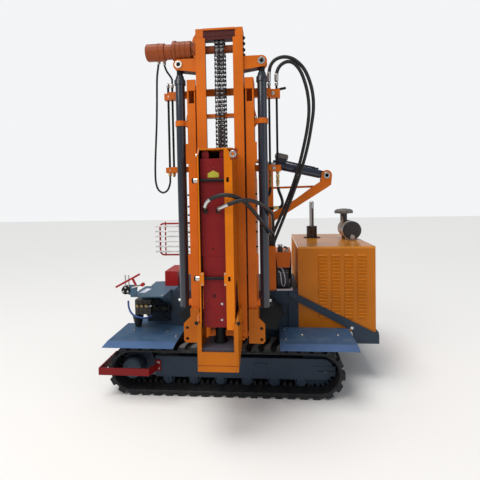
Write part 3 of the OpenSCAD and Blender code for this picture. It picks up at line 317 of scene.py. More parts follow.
class Shape:
    """One piece's mesh, made of solids that each have their own material."""

    def __init__(self, name, *replaced):
        self.name = name
        self.replaced = replaced
        self.mesh = bmesh.new()
        self.materials = []

    def paint(self, faces, material):
        if material not in self.materials:
            self.materials.append(material)
        for face in faces:
            face.material_index = self.materials.index(material)
            face.smooth = True
        return faces

    def skin(self, rings, material, closed=False):
        """A skin over rings of points that have the same count, with a cap at each end unless it is closed."""
        rows = [[self.mesh.verts.new(p) for p in ring] for ring in rings]
        count = len(rows[0])
        faces = []
        for a, b in zip(rows, rows[1:] + (rows[:1] if closed else [])):
            for k in range(count):
                faces.append(self.mesh.faces.new((a[k], a[(k + 1) % count], b[(k + 1) % count], b[k])))
        if not closed:
            faces.append(self.mesh.faces.new(rows[0][::-1]))
            faces.append(self.mesh.faces.new(rows[-1]))
        return self.paint(faces, material)

    def rounded(self, faces, size):
        if size > 0:
            edges = list({edge for face in faces for edge in face.edges})
            bmesh.ops.bevel(self.mesh, geom=edges, offset=size, segments=2, affect="EDGES", clamp_overlap=True)

    def box(self, corner, opposite, material, edge=0.0):
        (x0, x1), (y0, y1), (z0, z1) = (sorted(pair) for pair in zip(corner, opposite))
        ring = [(x0, y0), (x1, y0), (x1, y1), (x0, y1)]
        self.rounded(self.skin([[(x, y, z) for x, y in ring] for z in (z0, z1)], material), edge)

    def prism(self, outline, axis, low, high, material, edge=0.0):
        """A flat outline in the two other axes, in X, Y, Z order, given thickness along an axis."""
        rings = [[(*p[:axis], depth, *p[axis:]) for p in outline] for depth in (low, high)]
        self.rounded(self.skin(rings, material), edge)

    def turned(self, profile, place, direction, material, sides=32):
        """A turned form: each point of the profile is a distance along the direction and a radius."""
        along = Vector(direction).normalized()
        side = along.orthogonal().normalized()
        rings = []
        for distance, radius in profile:
            rings.append(circle(Vector(place) + along * distance, side, along.cross(side), max(radius, 1e-4), sides))
        return self.skin(rings, material)

    def rod(self, a, b, radius, material, sides=20):
        """A round bar from a to b with chamfered ends."""
        length = (Vector(b) - Vector(a)).length
        chamfer = min(0.0015, radius * 0.2, length * 0.2)
        profile = [(0, radius - chamfer), (chamfer, radius), (length - chamfer, radius), (length, radius - chamfer)]
        self.turned(profile, a, Vector(b) - Vector(a), material, sides)

    def tube(self, points, radius, material, sides=14):
        """A round tube along points."""
        self.skin(tube_rings(points, radius, sides), material)

    def bolt(self, place, direction, size, material):
        """A hexagon head on its washer, standing on a surface: size is the width across the corners."""
        self.turned([(0, size * 0.62), (size * 0.08, size * 0.62)], place, direction, material, 16)
        head = [(size * 0.08, size * 0.5), (size * 0.38, size * 0.5), (size * 0.44, size * 0.4)]
        self.turned(head, place, direction, material, 6)

    def bolt_circle(self, centre, radius, angles, direction, size, material):
        """Bolts on a circle square to the direction, which is along X or Y: angles in degrees."""
        across = Vector((0, 1, 0) if direction[0] else RIGHT)
        for angle in angles:
            a = radians(angle)
            place = Vector(centre) + across * (radius * cos(a)) + Vector(UP) * (radius * sin(a))
            self.bolt(place, direction, size, material)

    def made(self, body, slot, sharp=32):
        """The finished object, riding on its body in place of the nodes that it replaces."""
        bmesh.ops.recalc_face_normals(self.mesh, faces=self.mesh.faces)
        data = bpy.data.meshes.new(self.name)
        self.mesh.to_mesh(data)
        self.mesh.free()
        if "custom_normal" in data.attributes:
            data.attributes.remove(data.attributes["custom_normal"])
        for material in self.materials:
            data.materials.append(material)
        data.set_sharp_from_angle(angle=radians(sharp))
        piece = add_object(self.name, data)
        if body:
            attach(piece, body)
        if self.replaced:
            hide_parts(*self.replaced)
        return piece


def make_camera():
    yaw, pitch, roll = map(radians, CAMERA_TURN)
    forward = Vector((-sin(yaw) * cos(pitch), cos(yaw) * cos(pitch), -sin(pitch)))
    level = forward.cross(Vector(UP)).normalized()
    upright = level.cross(forward)
    right = level * cos(roll) - upright * sin(roll)
    up = level * sin(roll) + upright * cos(roll)
    data = bpy.data.cameras.new("camera")
    data.sensor_width = SENSOR_MM
    data.lens = FOCAL_PIXELS / PICTURE_SIDE * SENSOR_MM
    data.shift_y = (AXIS_ROW - PICTURE_SIDE / 2) / PICTURE_SIDE
    camera = add_object("camera", data)
    turn = Matrix((right, up, -forward)).transposed().to_4x4()
    camera.matrix_world = Matrix.Translation(CAMERA_PLACE) @ turn
    scene.camera = camera


# Hoses: radius, body at the first point, bodies at both ends, and the CAD model's route in millimetres
HOSES = {
    "hammer_hose_a": (0.014, "hammer", ("leader", "hammer"), [
        (-20, -1358, 1626), (-14, -1386, 1658), (8, -1412, 1694), (61, -1432, 1724), (129, -1440, 1735),
        (199, -1430, 1721), (256, -1388, 1684), (308, -1290, 1620), (354, -1180, 1550), (394, -1095, 1490),
        (423, -1045, 1458), (434, -985, 1442), (430, -900, 1437), (418, -790, 1430), (409, -680, 1410),
        (408, -580, 1378), (407, -490, 1340), (405, -420, 1300), (402.3, -396, 1250), (402.3, -392, 1205),
        (402.3, -392, 1170)]),
    "hammer_hose_b": (0.014, "hammer", ("leader", "hammer"), [
        (67, -1368, 1628), (78, -1395, 1640), (104, -1422, 1653), (163, -1448, 1676), (229, -1448, 1696),
        (292, -1420, 1696), (350, -1330, 1675), (400, -1180, 1636), (434, -1000, 1590), (437, -880, 1568),
        (440, -740, 1530), (441, -620, 1486), (441, -535, 1440), (441, -475, 1388), (441, -428, 1330),
        (441, -402, 1280), (444.7, -396, 1225), (444.7, -396, 1170)]),
    "loop_hose_a": (0.014, "mast", ("mast", "chassis"), [
        (425, -860, 2641), (426, -860, 2700), (441, -860, 2768), (478, -856, 2812), (530, -850, 2832),
        (585, -843, 2830), (643, -830, 2806), (707, -810, 2746), (754, -785, 2652), (782, -750, 2550),
        (789, -710, 2437), (776, -670, 2322), (752, -630, 2177), (712, -580, 2013), (648, -520, 1816),
        (568, -462, 1602), (498, -405, 1425), (456, -374, 1320), (442, -358, 1262), (440, -353, 1215),
        (440, -353, 1170)]),
    "loop_hose_b": (0.014, "mast", ("mast", "chassis"), [
        (485, -860, 2641), (486, -860, 2690), (500, -862, 2738), (533, -860, 2776), (580, -852, 2794),
        (630, -838, 2780), (680, -815, 2724), (720, -780, 2632), (745, -742, 2530), (753, -702, 2420),
        (742, -658, 2300), (716, -612, 2160), (676, -560, 1995), (614, -500, 1800), (536, -446, 1600),
        (466, -400, 1440), (422, -372, 1330), (408, -360, 1265), (406, -355, 1215), (406, -355, 1170)]),
    "motor_hose_a": (0.008, "leader", ("leader", "mast"), [
        (-440, -960, 2800), (-455, -930, 2770), (-475, -900, 2700), (-485, -880, 2600), (-492, -868, 2480),
        (-500, -862, 2330), (-510, -860, 2180), (-518, -860, 2050), (-522, -860, 1930), (-518, -860, 1850),
        (-498, -860, 1795), (-460, -860, 1772), (-422, -860, 1792), (-400, -860, 1845), (-397, -860, 1899)]),
    "motor_hose_b": (0.008, "leader", ("leader", "mast"), [
        (-400, -945, 2798), (-401, -925, 2775), (-395, -895, 2748), (-377, -870, 2720), (-363, -860, 2692),
        (-363, -860, 2661)]),
}


def hose_points(name):
    return [tuple(v / 1000 for v in point) for point in HOSES[name][3]]


def hose_line(name):
    return smooth_route(hose_points(name), HOSE_STEPS)


def make_hose(name):
    """A hose's tube along its route, between the two pieces that hold its ends."""
    radius, first_body, between, _ = HOSES[name]
    points, line = hose_points(name), hose_line(name)
    shape = Shape(name + "_skin", name)
    shape.tube(line, radius, hose_rubber, 16)
    piece = shape.made(None, "hose_rubber", sharp=60)
    start, end = (points[0], points[-1]) if between[0] == first_body else (points[-1], points[0])
    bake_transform(piece)
    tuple(start)
    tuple(end)
    length = sum((b - a).length for a, b in zip(line, line[1:]))
    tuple(points[0])
    [tuple(p) for p in line]


# Materials of the CAD pieces that stay as they are
CAD_MATERIALS = {
    orange: ["tilt_post"],
    hood_orange: ["hood_front", "hood_back", "hood_outer"],
    # The hood's inner side in a lighter copy of its orange: painted light
    lit_side_orange: ["hood_inner"],
    # Hood's top in a lighter orange: painted sunlight
    sunlit_lid_orange: ["hood_top"],
    black_paint: ["mast_carrier"],
    # The pile cage in a darker copy of the amber: painted shade
    shaded_cage_amber: ["pile_cage"],
    crimson: ["hammer_housing"],
    red: ["tool_box"],
    guard_red: ["track_guard"],
    dark_grey: ["track_frame_left", "track_frame_right", "track_wheels_left", "track_wheels_right", "carbody",
                "main_frame", "hood_base", "engine_block"],
    table_blue: ["control_table"],
    chrome: ["tilt_rod"],
    black_plastic: ["battery"],
}


def within(corner, opposite):
    """A test of whether a face's middle lies in a box."""
    return lambda c: all(min(a, b) <= v <= max(a, b) for a, v, b in zip(corner, c, opposite))


def near_line(a, b, reach):
    """A test of whether a face's middle lies along a line, within a distance of it."""
    a, b = Vector(a), Vector(b)

    def test(c):
        t = (Vector(c) - a).dot(b - a) / (b - a).length_squared
        return -0.001 < t < 1.001 and (Vector(c) - a - (b - a) * t).length <= reach
    return test


def flatten_plates(mesh):
    """Plain shading on broad flat regions, so that the rounds beside them don't bend their light."""
    left = set(mesh.faces)
    while left:
        region, front = [], [left.pop()]
        while front:
            face = front.pop()
            region.append(face)
            for edge in face.edges:
                for other in edge.link_faces:
                    if other in left and face.normal.dot(other.normal) > 0.99999:
                        left.discard(other)
                        front.append(other)
        inside = set(region)
        area = sum(face.calc_area() for face in region)
        rim = [e for face in region for e in face.edges if any(other not in inside for other in e.link_faces)]
        if rim and 2 * area / sum(e.calc_length() for e in rim) > PLATE_WIDTH:
            for face in region:
                face.smooth = False


def dressed(name, material, *rules):
    """The CAD node's own form in one material, with the faces that pass a test in another."""
    shape = Shape(name + "_dressed", name)
    shape.mesh.from_mesh(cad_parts[name].data)
    bmesh.ops.remove_doubles(shape.mesh, verts=shape.mesh.verts, dist=1e-6)
    shape.paint(shape.mesh.faces, material)
    for test, other in rules:
        shape.paint([f for f in shape.mesh.faces if test(f.calc_center_median())], other)
    flatten_plates(shape.mesh)
    return shape


def mast_at(offset, y, z, side=1):
    return MAST_X + side * offset, y, z


def across_mast(low, high, y, z, reach):
    return near_line(mast_at(low, y, z), mast_at(high, y, z), reach)


def belt_point(s, half_run, radius, height=0.0):
    """Place a length s along a belt round two wheels: along its run, and out from its middle line."""
    halves, p = divmod(s, 2 * half_run + pi * radius)
    u, v = p - half_run, radius + height
    if u > half_run:
        a = (u - half_run) / radius
        u, v = half_run + v * sin(a), v * cos(a)
    return (-u, -v) if halves % 2 else (u, v)


def make_track(name, side):
    """Rubber belt with lugs outside and guide horns inside."""
    shape = Shape(name + "_rubber", name)
    pitch = TRACK_LOOP / LUG_COUNT

    def at(s, across, h):
        u, v = belt_point(s, WHEEL_X, BELT_R, h)
        return -u, side * (TRACK_Y + across), TRACK_H / 2 - v

    def block(s, across, outline):
        return [at(s + along, across, h) for along, h in outline]

    half, edge = TRACK_W / 2, 0.006
    section = [(-half, -BELT_T + edge), (-half + edge, -BELT_T), (half - edge, -BELT_T), (half, -BELT_T + edge),
               (half, -edge), (half - edge, 0), (-half + edge, 0), (-half, -edge)]
    steps = LUG_COUNT * 4
    rings = [[at(i * TRACK_LOOP / steps, across, h) for across, h in section] for i in range(steps)]
    shape.skin(rings, track_rubber, closed=True)
    # Lugs: a straight block at the belt's edge that slants towards its middle, in turn on either side
    rows = [(half - 0.002, 0.0, 0.037), (half * 0.62, 0.0, 0.036), (half * 0.34, 0.012, 0.031),
            (-0.006, 0.036, 0.022)]
    for i in range(LUG_COUNT):
        for hand in SIDES:
            rings = []
            for across, slant, foot in rows:
                tip = foot - 0.007
                outline = [(-foot, -0.002), (-tip, LUG_H - 0.004), (0.004 - tip, LUG_H), (tip - 0.004, LUG_H),
                           (tip, LUG_H - 0.004), (foot, -0.002)]
                rings.append(block((i + 0.25 * hand) * pitch + slant * hand, hand * across, outline))
            shape.skin(rings, track_rubber)
    # Guide horns in pairs
    for i in range(2 * LUG_COUNT):
        for hand in SIDES:
            rings = []
            for across, reach in ((0.05, 0.8), (0.04, 1.0), (0.024, 1.0), (0.014, 0.8)):
                root, top = 0.002 - BELT_T, -BELT_T - 0.034 * reach
                outline = [(-0.015, root), (-0.01, top), (0.01, top), (0.015, root)]
                rings.append(block((i + 0.5) * pitch / 2, hand * across - 0.036, outline))
            shape.skin(rings, track_rubber)
    shape.paint([f for f in shape.mesh.faces if f.calc_center_median().z > TRACK_H - 0.0015], dusty_rubber)
    shape.made("chassis", "track_rubber")


def make_chain():
    """Duplex roller chain, each link with its plates, rollers and pins."""
    shape = Shape("hoist_chain_links", "hoist_chain")
    half_run, middle_z = (HEAD_Z - TAIL_Z) / 2, (HEAD_Z + TAIL_Z) / 2
    total = 4 * half_run + 2 * pi * SPROCKET_R
    count = 2 * round(total / CHAIN_PITCH / 2)

    def at(link):
        u, v = belt_point(total * link / count, half_run, SPROCKET_R)
        return Vector((0, LEADER_Y - v, middle_z + u))

    plate_r, strand, plate_t, pin_end = 0.0115, 0.018, 0.0034, 0.0382
    inner = [-strand - 0.0125, -strand + 0.0125, strand - 0.0125, strand + 0.0125]
    outer = [-strand - 0.017, 0.0, strand + 0.017]
    roller = [(0, 0.0086), (0.0015, 0.0095), (0.0189, 0.0095), (0.0204, 0.0086)]
    for i in range(count):
        a, b = at(i), at(i + 1)
        along = (b - a).normalized()
        across = Vector((0, -along.z, along.y))
        outline = []
        for centre, turn, waist in ((b, 0.0, -0.72), (a, pi, 0.72)):
            for k in range(7):
                angle = turn + pi / 2 - pi * k / 6
                outline.append(centre + (along * cos(angle) + across * sin(angle)) * plate_r)
            outline.append((a + b) / 2 + across * plate_r * waist)
        for x in (outer if i % 2 else inner):
            rings = [[p + Vector((MAST_X + x + e * plate_t / 2, 0, 0)) for p in outline] for e in SIDES]
            shape.skin(rings, chain_steel)
        middle = a + Vector((MAST_X, 0, 0))
        shape.turned([(0, 0.0042), (2 * pin_end, 0.0042)], middle - Vector((pin_end, 0, 0)), RIGHT, chain_steel, 8)
        for hand in SIDES:
            shape.turned(roller, middle + Vector((hand * strand - 0.0102, 0, 0)), RIGHT, roller_steel, 12)
    shape.made("leader", "chain")


def make_pipes():
    """Black pipes in orange clamps, with nuts at their ends."""
    nut = [(0, 0.013), (0.004, 0.015), (0.026, 0.015), (0.03, 0.012)]
    for name, side, offsets, low, high, clamps in (
        ("pipes_left", -1, (0.418, 0.452), 1.9, 2.66, ((1.932, 1.975), (2.522, 2.574))),
        ("pipes_right", 1, (0.37, 0.43), 1.9, 2.64, ((1.925, 1.975), (2.508, 2.575))),
    ):
        rules = [(within((-1, -0.93, z0 - 1e-4), (1, -0.8379, z1 + 1e-4)), orange) for z0, z1 in clamps]
        shape = dressed(name, black_paint, *rules)
        for z0, z1 in clamps:
            shape.bolt(mast_at(sum(offsets) / 2, -0.885, (z0 + z1) / 2, side), FRONT, 0.024, zinc)
        for offset in offsets:
            shape.turned(nut, mast_at(offset, PIPE_Y, high - 0.036, side), UP, zinc, 6)
            shape.turned(nut, mast_at(offset, PIPE_Y, low + 0.036, side), DOWN, brass, 6)
        shape.made("mast", "black_paint")
    # Brass unions under the right pair, and the bent ends that turn in behind the guide
    shape = Shape("pipe_ends")
    union = [(0, 0.009), (0.01, 0.014), (0.034, 0.014), (0.036, 0.011), (0.046, 0.011), (0.048, 0.015),
             (0.076, 0.015), (0.078, 0.012), (0.1, 0.012)]
    for points in (
        [(0.425, PIPE_Y, 1.8), (0.421, -0.858, 1.765), (0.408, -0.85, 1.735), (0.385, -0.835, 1.712),
         (0.35, -0.82, 1.7)],
        [(0.485, PIPE_Y, 1.8), (0.495, PIPE_Y, 1.76), (0.512, PIPE_Y, 1.715), (0.52, -0.858, 1.675),
         (0.512, -0.852, 1.645), (0.485, -0.845, 1.632), (0.43, -0.835, 1.628), (0.35, -0.82, 1.628)],
    ):
        shape.turned(union, (points[0][0], PIPE_Y, 1.905), DOWN, brass, 6)
        shape.tube(smooth_route(points, 4), 0.012, black_paint)
    shape.turned([(0, 0.014), (0.04, 0.014)], (0.49, -0.846, 1.633), LEFT, brass, 8)
    shape.made("mast", "black_paint")


def make_cylinders():
    collar = [(0, 0.04), (0.003, 0.044), (0.036, 0.044), (0.041, 0.0415), (0.043, 0.039)]
    for name, side in (("lift_barrel_left", -1), ("lift_barrel_right", 1)):
        port = within(mast_at(0.3535, -1.02, 0.9, side), mast_at(0.3735, -0.98, 0.93, side))
        shape = dressed(name, barrel_paint, (port, zinc))
        shape.turned(collar, mast_at(LIFT_OFF, LIFT_Y, 2.597, side), UP, barrel_paint, 40)
        shape.made("mast", "cylinder")
    shape = dressed("lift_rods", chrome, (lambda c: c.y < -1.0402, zinc))
    socket = [(0, 0.016), (0.0012, 0.016), (0.0012, 0.008), (0.0022, 0.008)]
    sleeve = [(0, 0.0228), (0.002, 0.0238), (0.042, 0.0238)]
    for side in SIDES:
        shape.turned(socket, mast_at(LIFT_OFF, -1.0485, EAR_Z, side), FRONT, black_paint, 24)
        shape.turned(sleeve, mast_at(LIFT_OFF, LIFT_Y, 2.671, side), UP, black_paint, 28)
    shape.made("leader", "rod_chrome")


def make_tilt_barrel():
    """Tilt cylinder, with a rounded grey cover on its valve block and a pipe along it."""
    along = (TILT_EYE - TILT_HORN).normalized()
    up = Vector((along.z, 0, -along.x))

    def on_barrel(reach, height, y=0.0):
        return TILT_HORN + along * reach + up * height + Vector((0, y, 0))

    shape = dressed("tilt_barrel", navy_paint, (lambda c: c.y < -0.3301 or c.y > -0.2499, zinc))
    cover = [(0.388, 0.066), (0.384, 0.078), (0.386, 0.104), (0.396, 0.114), (0.494, 0.116), (0.508, 0.106),
             (0.512, 0.08), (0.506, 0.066)]
    shape.skin([[on_barrel(u * k + 0.448 * (1 - k), v * k + 0.09 * (1 - k), y) for u, v in cover]
                for y, k in ((-0.048, 0.86), (-0.043, 0.97), (-0.034, 1.0), (0.034, 1.0), (0.043, 0.97),
                             (0.048, 0.86))], grey_plastic)
    line = [on_barrel(*p) for p in ((0.398, 0.052), (0.33, 0.05), (0.24, 0.049), (0.16, 0.049), (0.125, 0.048),
                                    (0.105, 0.04), (0.09, 0.026))]
    shape.tube(smooth_route(line, 4), 0.0095, navy_paint, 12)
    shape.turned([(0, 0.03), (0.006, 0.03), (0.008, 0.027), (0.008, 0.016), (0.004, 0.015), (0.004, 0.001)],
                 (TILT_HORN.x, -0.331, TILT_HORN.z), FRONT, zinc, 28)
    shape.made("tilt_barrel", "cylinder")


def make_gearbox():
    shape = dressed("chain_drive", gear_orange, (across_mast(-0.031, 0.031, LEADER_Y, HEAD_Z, 0.0505), steel),
                    (across_mast(-0.181, 0.181, LEADER_Y, TAIL_Z, 0.0505), steel),
                    (lambda c: c.x > MAST_X + 0.1795 and c.z > 2, steel))
    for offset, angles, size in ((0.201, (22.5 + 45 * k for k in range(8)), 0.016),
                                 (0.362, (15 + 30 * k for k in range(12)), 0.013)):
        shape.bolt_circle(mast_at(-offset, LEADER_Y, HEAD_Z), 0.068, angles, LEFT, size, black_paint)
    # Motor's cover and the unions of its hoses
    shape.turned([(0, 0.066), (0.004, 0.068), (0.01, 0.068), (0.014, 0.066)], mast_at(-0.47, LEADER_Y, HEAD_Z),
                 LEFT, gear_orange, 40)
    for place in ((-0.44, -0.96, 2.82), (-0.4, -0.945, 2.818)):
        union = [(0, 0.011), (0.003, 0.0135), (0.03, 0.0135), (0.034, 0.01)]
        shape.turned(union, place, (0, 0.25, -1), zinc, 6)
    shape.made("leader", "orange")
    # The head's recessed panel, the rails' inner faces and their outer faces low down in a dark red: painted shade
    panel = within((MAST_X - 0.1225, -1.06, 2.9), (MAST_X + 0.1225, -0.9, 2.989))
    dressed("leader_frame", orange, (panel, shaded_panel_red),
            (lambda c: abs(abs(c.x - MAST_X) - 0.122) < 0.001, shaded_panel_red),
            (lambda c: abs(c.x - MAST_X) > 0.1815 and c.z < 2.705, shaded_panel_red)).made("leader", "orange")
    head = Shape("head_bolts")
    ear = [(-0.181, 2.966), (-0.196, 2.95), (-0.206, 2.925), (-0.212, 2.89), (-0.212, 2.85), (-0.206, 2.815),
           (-0.196, 2.792), (-0.181, 2.782)]
    head.prism([(MAST_X + x, z) for x, z in ear], 1, -1.04, -1.026, orange, 0.001)
    head.box(mast_at(-0.122, -1.0635, 2.981), mast_at(0.122, -1.0605, 2.996), orange, 0.0005)
    for z in (2.928, 2.885, 2.838, 2.799):
        head.bolt(mast_at(LEADER_HALF, -1.02, z), RIGHT, 0.026, black_paint)
        head.rod(mast_at(LEADER_HALF + 0.008, -1.02, z), mast_at(LEADER_HALF + 0.017, -1.02, z), 0.008,
                 black_paint, 12)
    head.made("leader", "black_paint")


def make_carriage():
    rod_y = HAMMER_FRONT + 0.03
    # The carriage's inner faces in black paint: painted shade inside it
    rules = [(lambda c: abs(c.x - MAST_X) < 0.1102 and -1.377 < c.y and c.z < 2.0479, black_paint),
             # The right side plate in a darker amber: painted shade
             (lambda c: c.x > MAST_X + 0.1195 and c.y > -1.389, shaded_side_amber)]
    for z in TIE_RODS:
        rules += [(across_mast(-0.109, 0.109, rod_y, z, 0.0104), black_paint),
                  (across_mast(-0.16, -0.1205, rod_y, z, 0.0175), zinc),
                  (lambda c, z=z: c.x < MAST_X - 0.1555 and abs(c.z - z) < 0.02, black_paint)]
    shape = dressed("hammer_carriage", amber, *rules)
    for z in TIE_RODS:
        shape.turned([(0, 0.019), (0.01, 0.019), (0.012, 0.016)], mast_at(-0.15, rod_y, z), LEFT, black_paint, 24)
    # Lifting eye beside the head, on its bracket
    eye = mast_at(0.127, -1.392, 2.01)
    shape.box(mast_at(0.108, -1.3925, 1.972), mast_at(0.158, -1.38, 2.048), deep_orange, 0.001)
    shape.turned([(0, 0.0235), (0.005, 0.0235), (0.007, 0.021), (0.007, 0.012), (0.003, 0.011), (0.003, 0.001)],
                 eye, FRONT, zinc)
    shape.turned([(0, 0.0105), (0.006, 0.0105), (0.007, 0.008)], eye, FRONT, orange, 24)
    shape.bolt(mast_at(-0.121, -1.375, 2.008), LEFT, 0.022, zinc)
    for z in (1.125, 1.199):
        for offset in (-0.102, 0.058):
            shape.bolt(mast_at(offset, HAMMER_FRONT + 0.002, z), FRONT, 0.009, zinc)
    shape.made("hammer", "orange")


def make_hammer():
    """On the hammer's face: a blank plate, raised marks without text, plugs, bolts and the hoses' ends."""
    face, front = Shape("hammer_face"), HOUSING_FRONT
    house = [(-0.001, 1.857), (0.078, 1.857), (0.078, 1.886), (0.0385, 1.907), (-0.001, 1.886)]
    face.prism(house, 1, front - 0.0015, front + 0.001, yellow, 0.0005)
    for x, z, size, low in ((0.036, 1.934, 0.016, 0.0), (0.028, 1.211, 0.021, 0.003), (-0.021, 0.958, 0.024, 0.003)):
        ring = [(0, size), (0.0012, size - 0.001), (0.0012, size - 0.004), (0.0006, size - 0.006), (0.0006, 0.001)]
        face.turned(ring, (x, front + low, z), FRONT, crimson, 28)
    for x, z, size, low in ((0.026, 1.368, 0.007, 0.0), (0.029, 1.036, 0.014, 0.003)):
        face.turned([(0, size), (0.001, size), (0.0012, 0.002)], (x, front + low, z), FRONT, black_paint, 20)
    face.turned([(0, 0.007), (0.002, 0.006), (0.002, 0.001)], (0.029, front + 0.0025, 1.036), FRONT, crimson, 20)
    for x, z in ((0.082, 0.98), (0.08, 0.868)):
        face.bolt((x, front + 0.003, z), FRONT, 0.014, zinc)
    nut = [(0, 0.019), (0.006, 0.019), (0.007, 0.014), (0.02, 0.014)]
    for name, x, z, last in (("hammer_hose_a", -0.02, 1.626, 13), ("hammer_hose_b", 0.067, 1.628, 15)):
        line = hose_line(name)
        face.turned(nut, (x, front + 0.002, z), FRONT, burnt_steel, 6)
        face.tube(line[1:6], 0.0148, burnt_steel)
        face.tube(line[5:7], 0.017, zinc, 6)
        face.tube(line[6:last], [0.0146] + [0.0152] * (last - 8) + [0.0144], zinc, 16)
    face.made("hammer", "crimson")
    cage = Shape("cage_bolts")
    for x in (-0.09, 0.2):
        cage.bolt((x, -1.398, 0.861), FRONT, 0.022, black_paint)
    # Welded fold across the front plate
    cage.box(mast_at(-0.139, -1.4015, 0.5655), mast_at(0.139, -1.399, 0.568), deep_orange)
    cage.made("hammer", "bare_steel")
    dressed("chisel", black_paint, (lambda c: c.z < 0.6802, anvil_grey)).made("hammer", "dark_grey")


def make_mast_details():
    # The guide's foot plates in the cage's darker amber: painted shade
    dressed("mast_guide", orange, (lambda c: c.y < -1.0449 and c.z < 0.87, shaded_cage_amber)).made("mast", "orange")
    shape = Shape("mast_details")
    for side in SIDES:
        for z in (1.745, 1.655, 1.59, 1.53, 1.455, 1.34, 2.1, 2.01):
            shape.rod(mast_at(0.255, -1.03, z, side), mast_at(0.272, -1.03, z, side), 0.007, black_paint, 8)
        shape.bolt(mast_at(0.262, -1.02, 2.33, side), (side, 0, 0), 0.022, zinc)
        # Dark strip beside the leader's rail: painted shade that closes the gap between the rail and the guide
        shape.box(mast_at(0.1835, -1.031, 0.8, side), mast_at(0.19, -0.962, 2.56, side), gap_shade_brown, 0.001)
        for z in (0.751, 0.681, 0.634):
            shape.bolt(mast_at(0.15, -1.0625, z, side), FRONT, 0.02, orange)
    for name in ("loop_hose_a", "loop_hose_b"):
        shape.tube(hose_line(name)[0:7], [0.0146] + [0.0164] * 5 + [0.0146], zinc)
    shape.made("mast", "bare_steel")


def make_controls():
    """Lever stand, its plate on the table, and the valve below."""
    def bar(x0, z0, x1, z1, reach):
        return near_line((x0, -0.598, z0), (x1, -0.598, z1), reach)

    shape = dressed("control_levers", black_paint,
                    (bar(-1.001, 0.922, -0.775, 1.041, 0.0125), red),
                    (bar(-0.843, 1.002, -0.806, 0.925, 0.0118), red),
                    (bar(-0.912, 0.925, -0.912, 1.033, 0.0064), zinc),
                    (bar(-0.88, 0.925, -0.88, 1.033, 0.0064), zinc),
                    (bar(-0.848, 0.9185, -0.78, 0.937, 0.0095), zinc), (lambda c: c.y > -0.5929, table_blue),
                    (within((-0.766, -0.62, 0.929), (-0.73, -0.57, 0.966)), red))
    shape.bolt_circle((-0.909, -0.606, 0.895), 0.024, (90, 210, 330), FRONT, 0.014, zinc)
    shape.made("chassis", "black_paint")
    shape = dressed("control_valve", cast_grey,
                    (within((-0.96, -0.5, 0.47), (-0.83, -0.2, 0.6128)), black_plastic),
                    (lambda c: c.y < -0.4055 or c.x > -0.7449 or (c.z < 0.6128 and c.x > -0.83), old_brass))
    for x in (-0.87, -0.825, -0.78):
        for z in (0.64, 0.735):
            shape.bolt((x, -0.405, z), FRONT, 0.014, burnt_steel)
    shape.made("chassis", "bare_steel")
    extra = Shape("control_details")
    label = [(-0.824, -0.492), (-0.808, -0.312), (-0.756, -0.33), (-0.764, -0.491)]
    extra.prism(label, 2, TABLE_Z, TABLE_Z + 0.003, white, 0.001)
    for x, y in ((-0.845, -0.58), (-0.575, -0.58), (-0.575, -0.36), (-0.79, -0.22)):
        extra.bolt((x, y, TABLE_Z), UP, 0.018, zinc)
    # Hydraulic lines under the table, and the dark motor that joins the valve to the frame
    extra.rod((-0.744, -0.35, 0.657), (-0.566, -0.35, 0.657), 0.029, black_paint, 24)
    extra.rod((-0.64, -0.35, 0.657), (-0.6, -0.35, 0.657), 0.04, black_paint, 24)
    extra.rod((-0.8, -0.395, 0.689), (-0.735, -0.395, 0.694), 0.013, zinc, 16)
    extra.tube(smooth_route([(-0.968, -0.4, 0.744), (-0.958, -0.41, 0.673), (-0.918, -0.418, 0.613),
                             (-0.845, -0.42, 0.586), (-0.783, -0.41, 0.582), (-0.74, -0.385, 0.6)], 5),
               0.009, blue_hose, 12)
    extra.tube(smooth_route([(-0.74, -0.41, 0.758), (-0.704, -0.41, 0.698), (-0.637, -0.4, 0.623),
                             (-0.566, -0.34, 0.535)], 5), 0.006, black_paint, 10)
    # Inner step plate, and the web plate behind the valve
    extra.box((-0.93, -0.27, 0.4715), (-0.5655, -0.06, 0.4795), steel_blue, 0.001)
    extra.box((-0.848, -0.2, 0.4795), (-0.5655, -0.194, 0.8335), dark_grey, 0.001)
    extra.made("chassis", "bare_steel")
    shape = dressed("guard_rail", red)
    for i in range(6):
        z = 1.115 + i * 0.0588
        shape.rod((-0.936, 0.394, z), (-0.449, 0.394, z), 0.01, white_bar, 12)
    shape.made("chassis", "red")


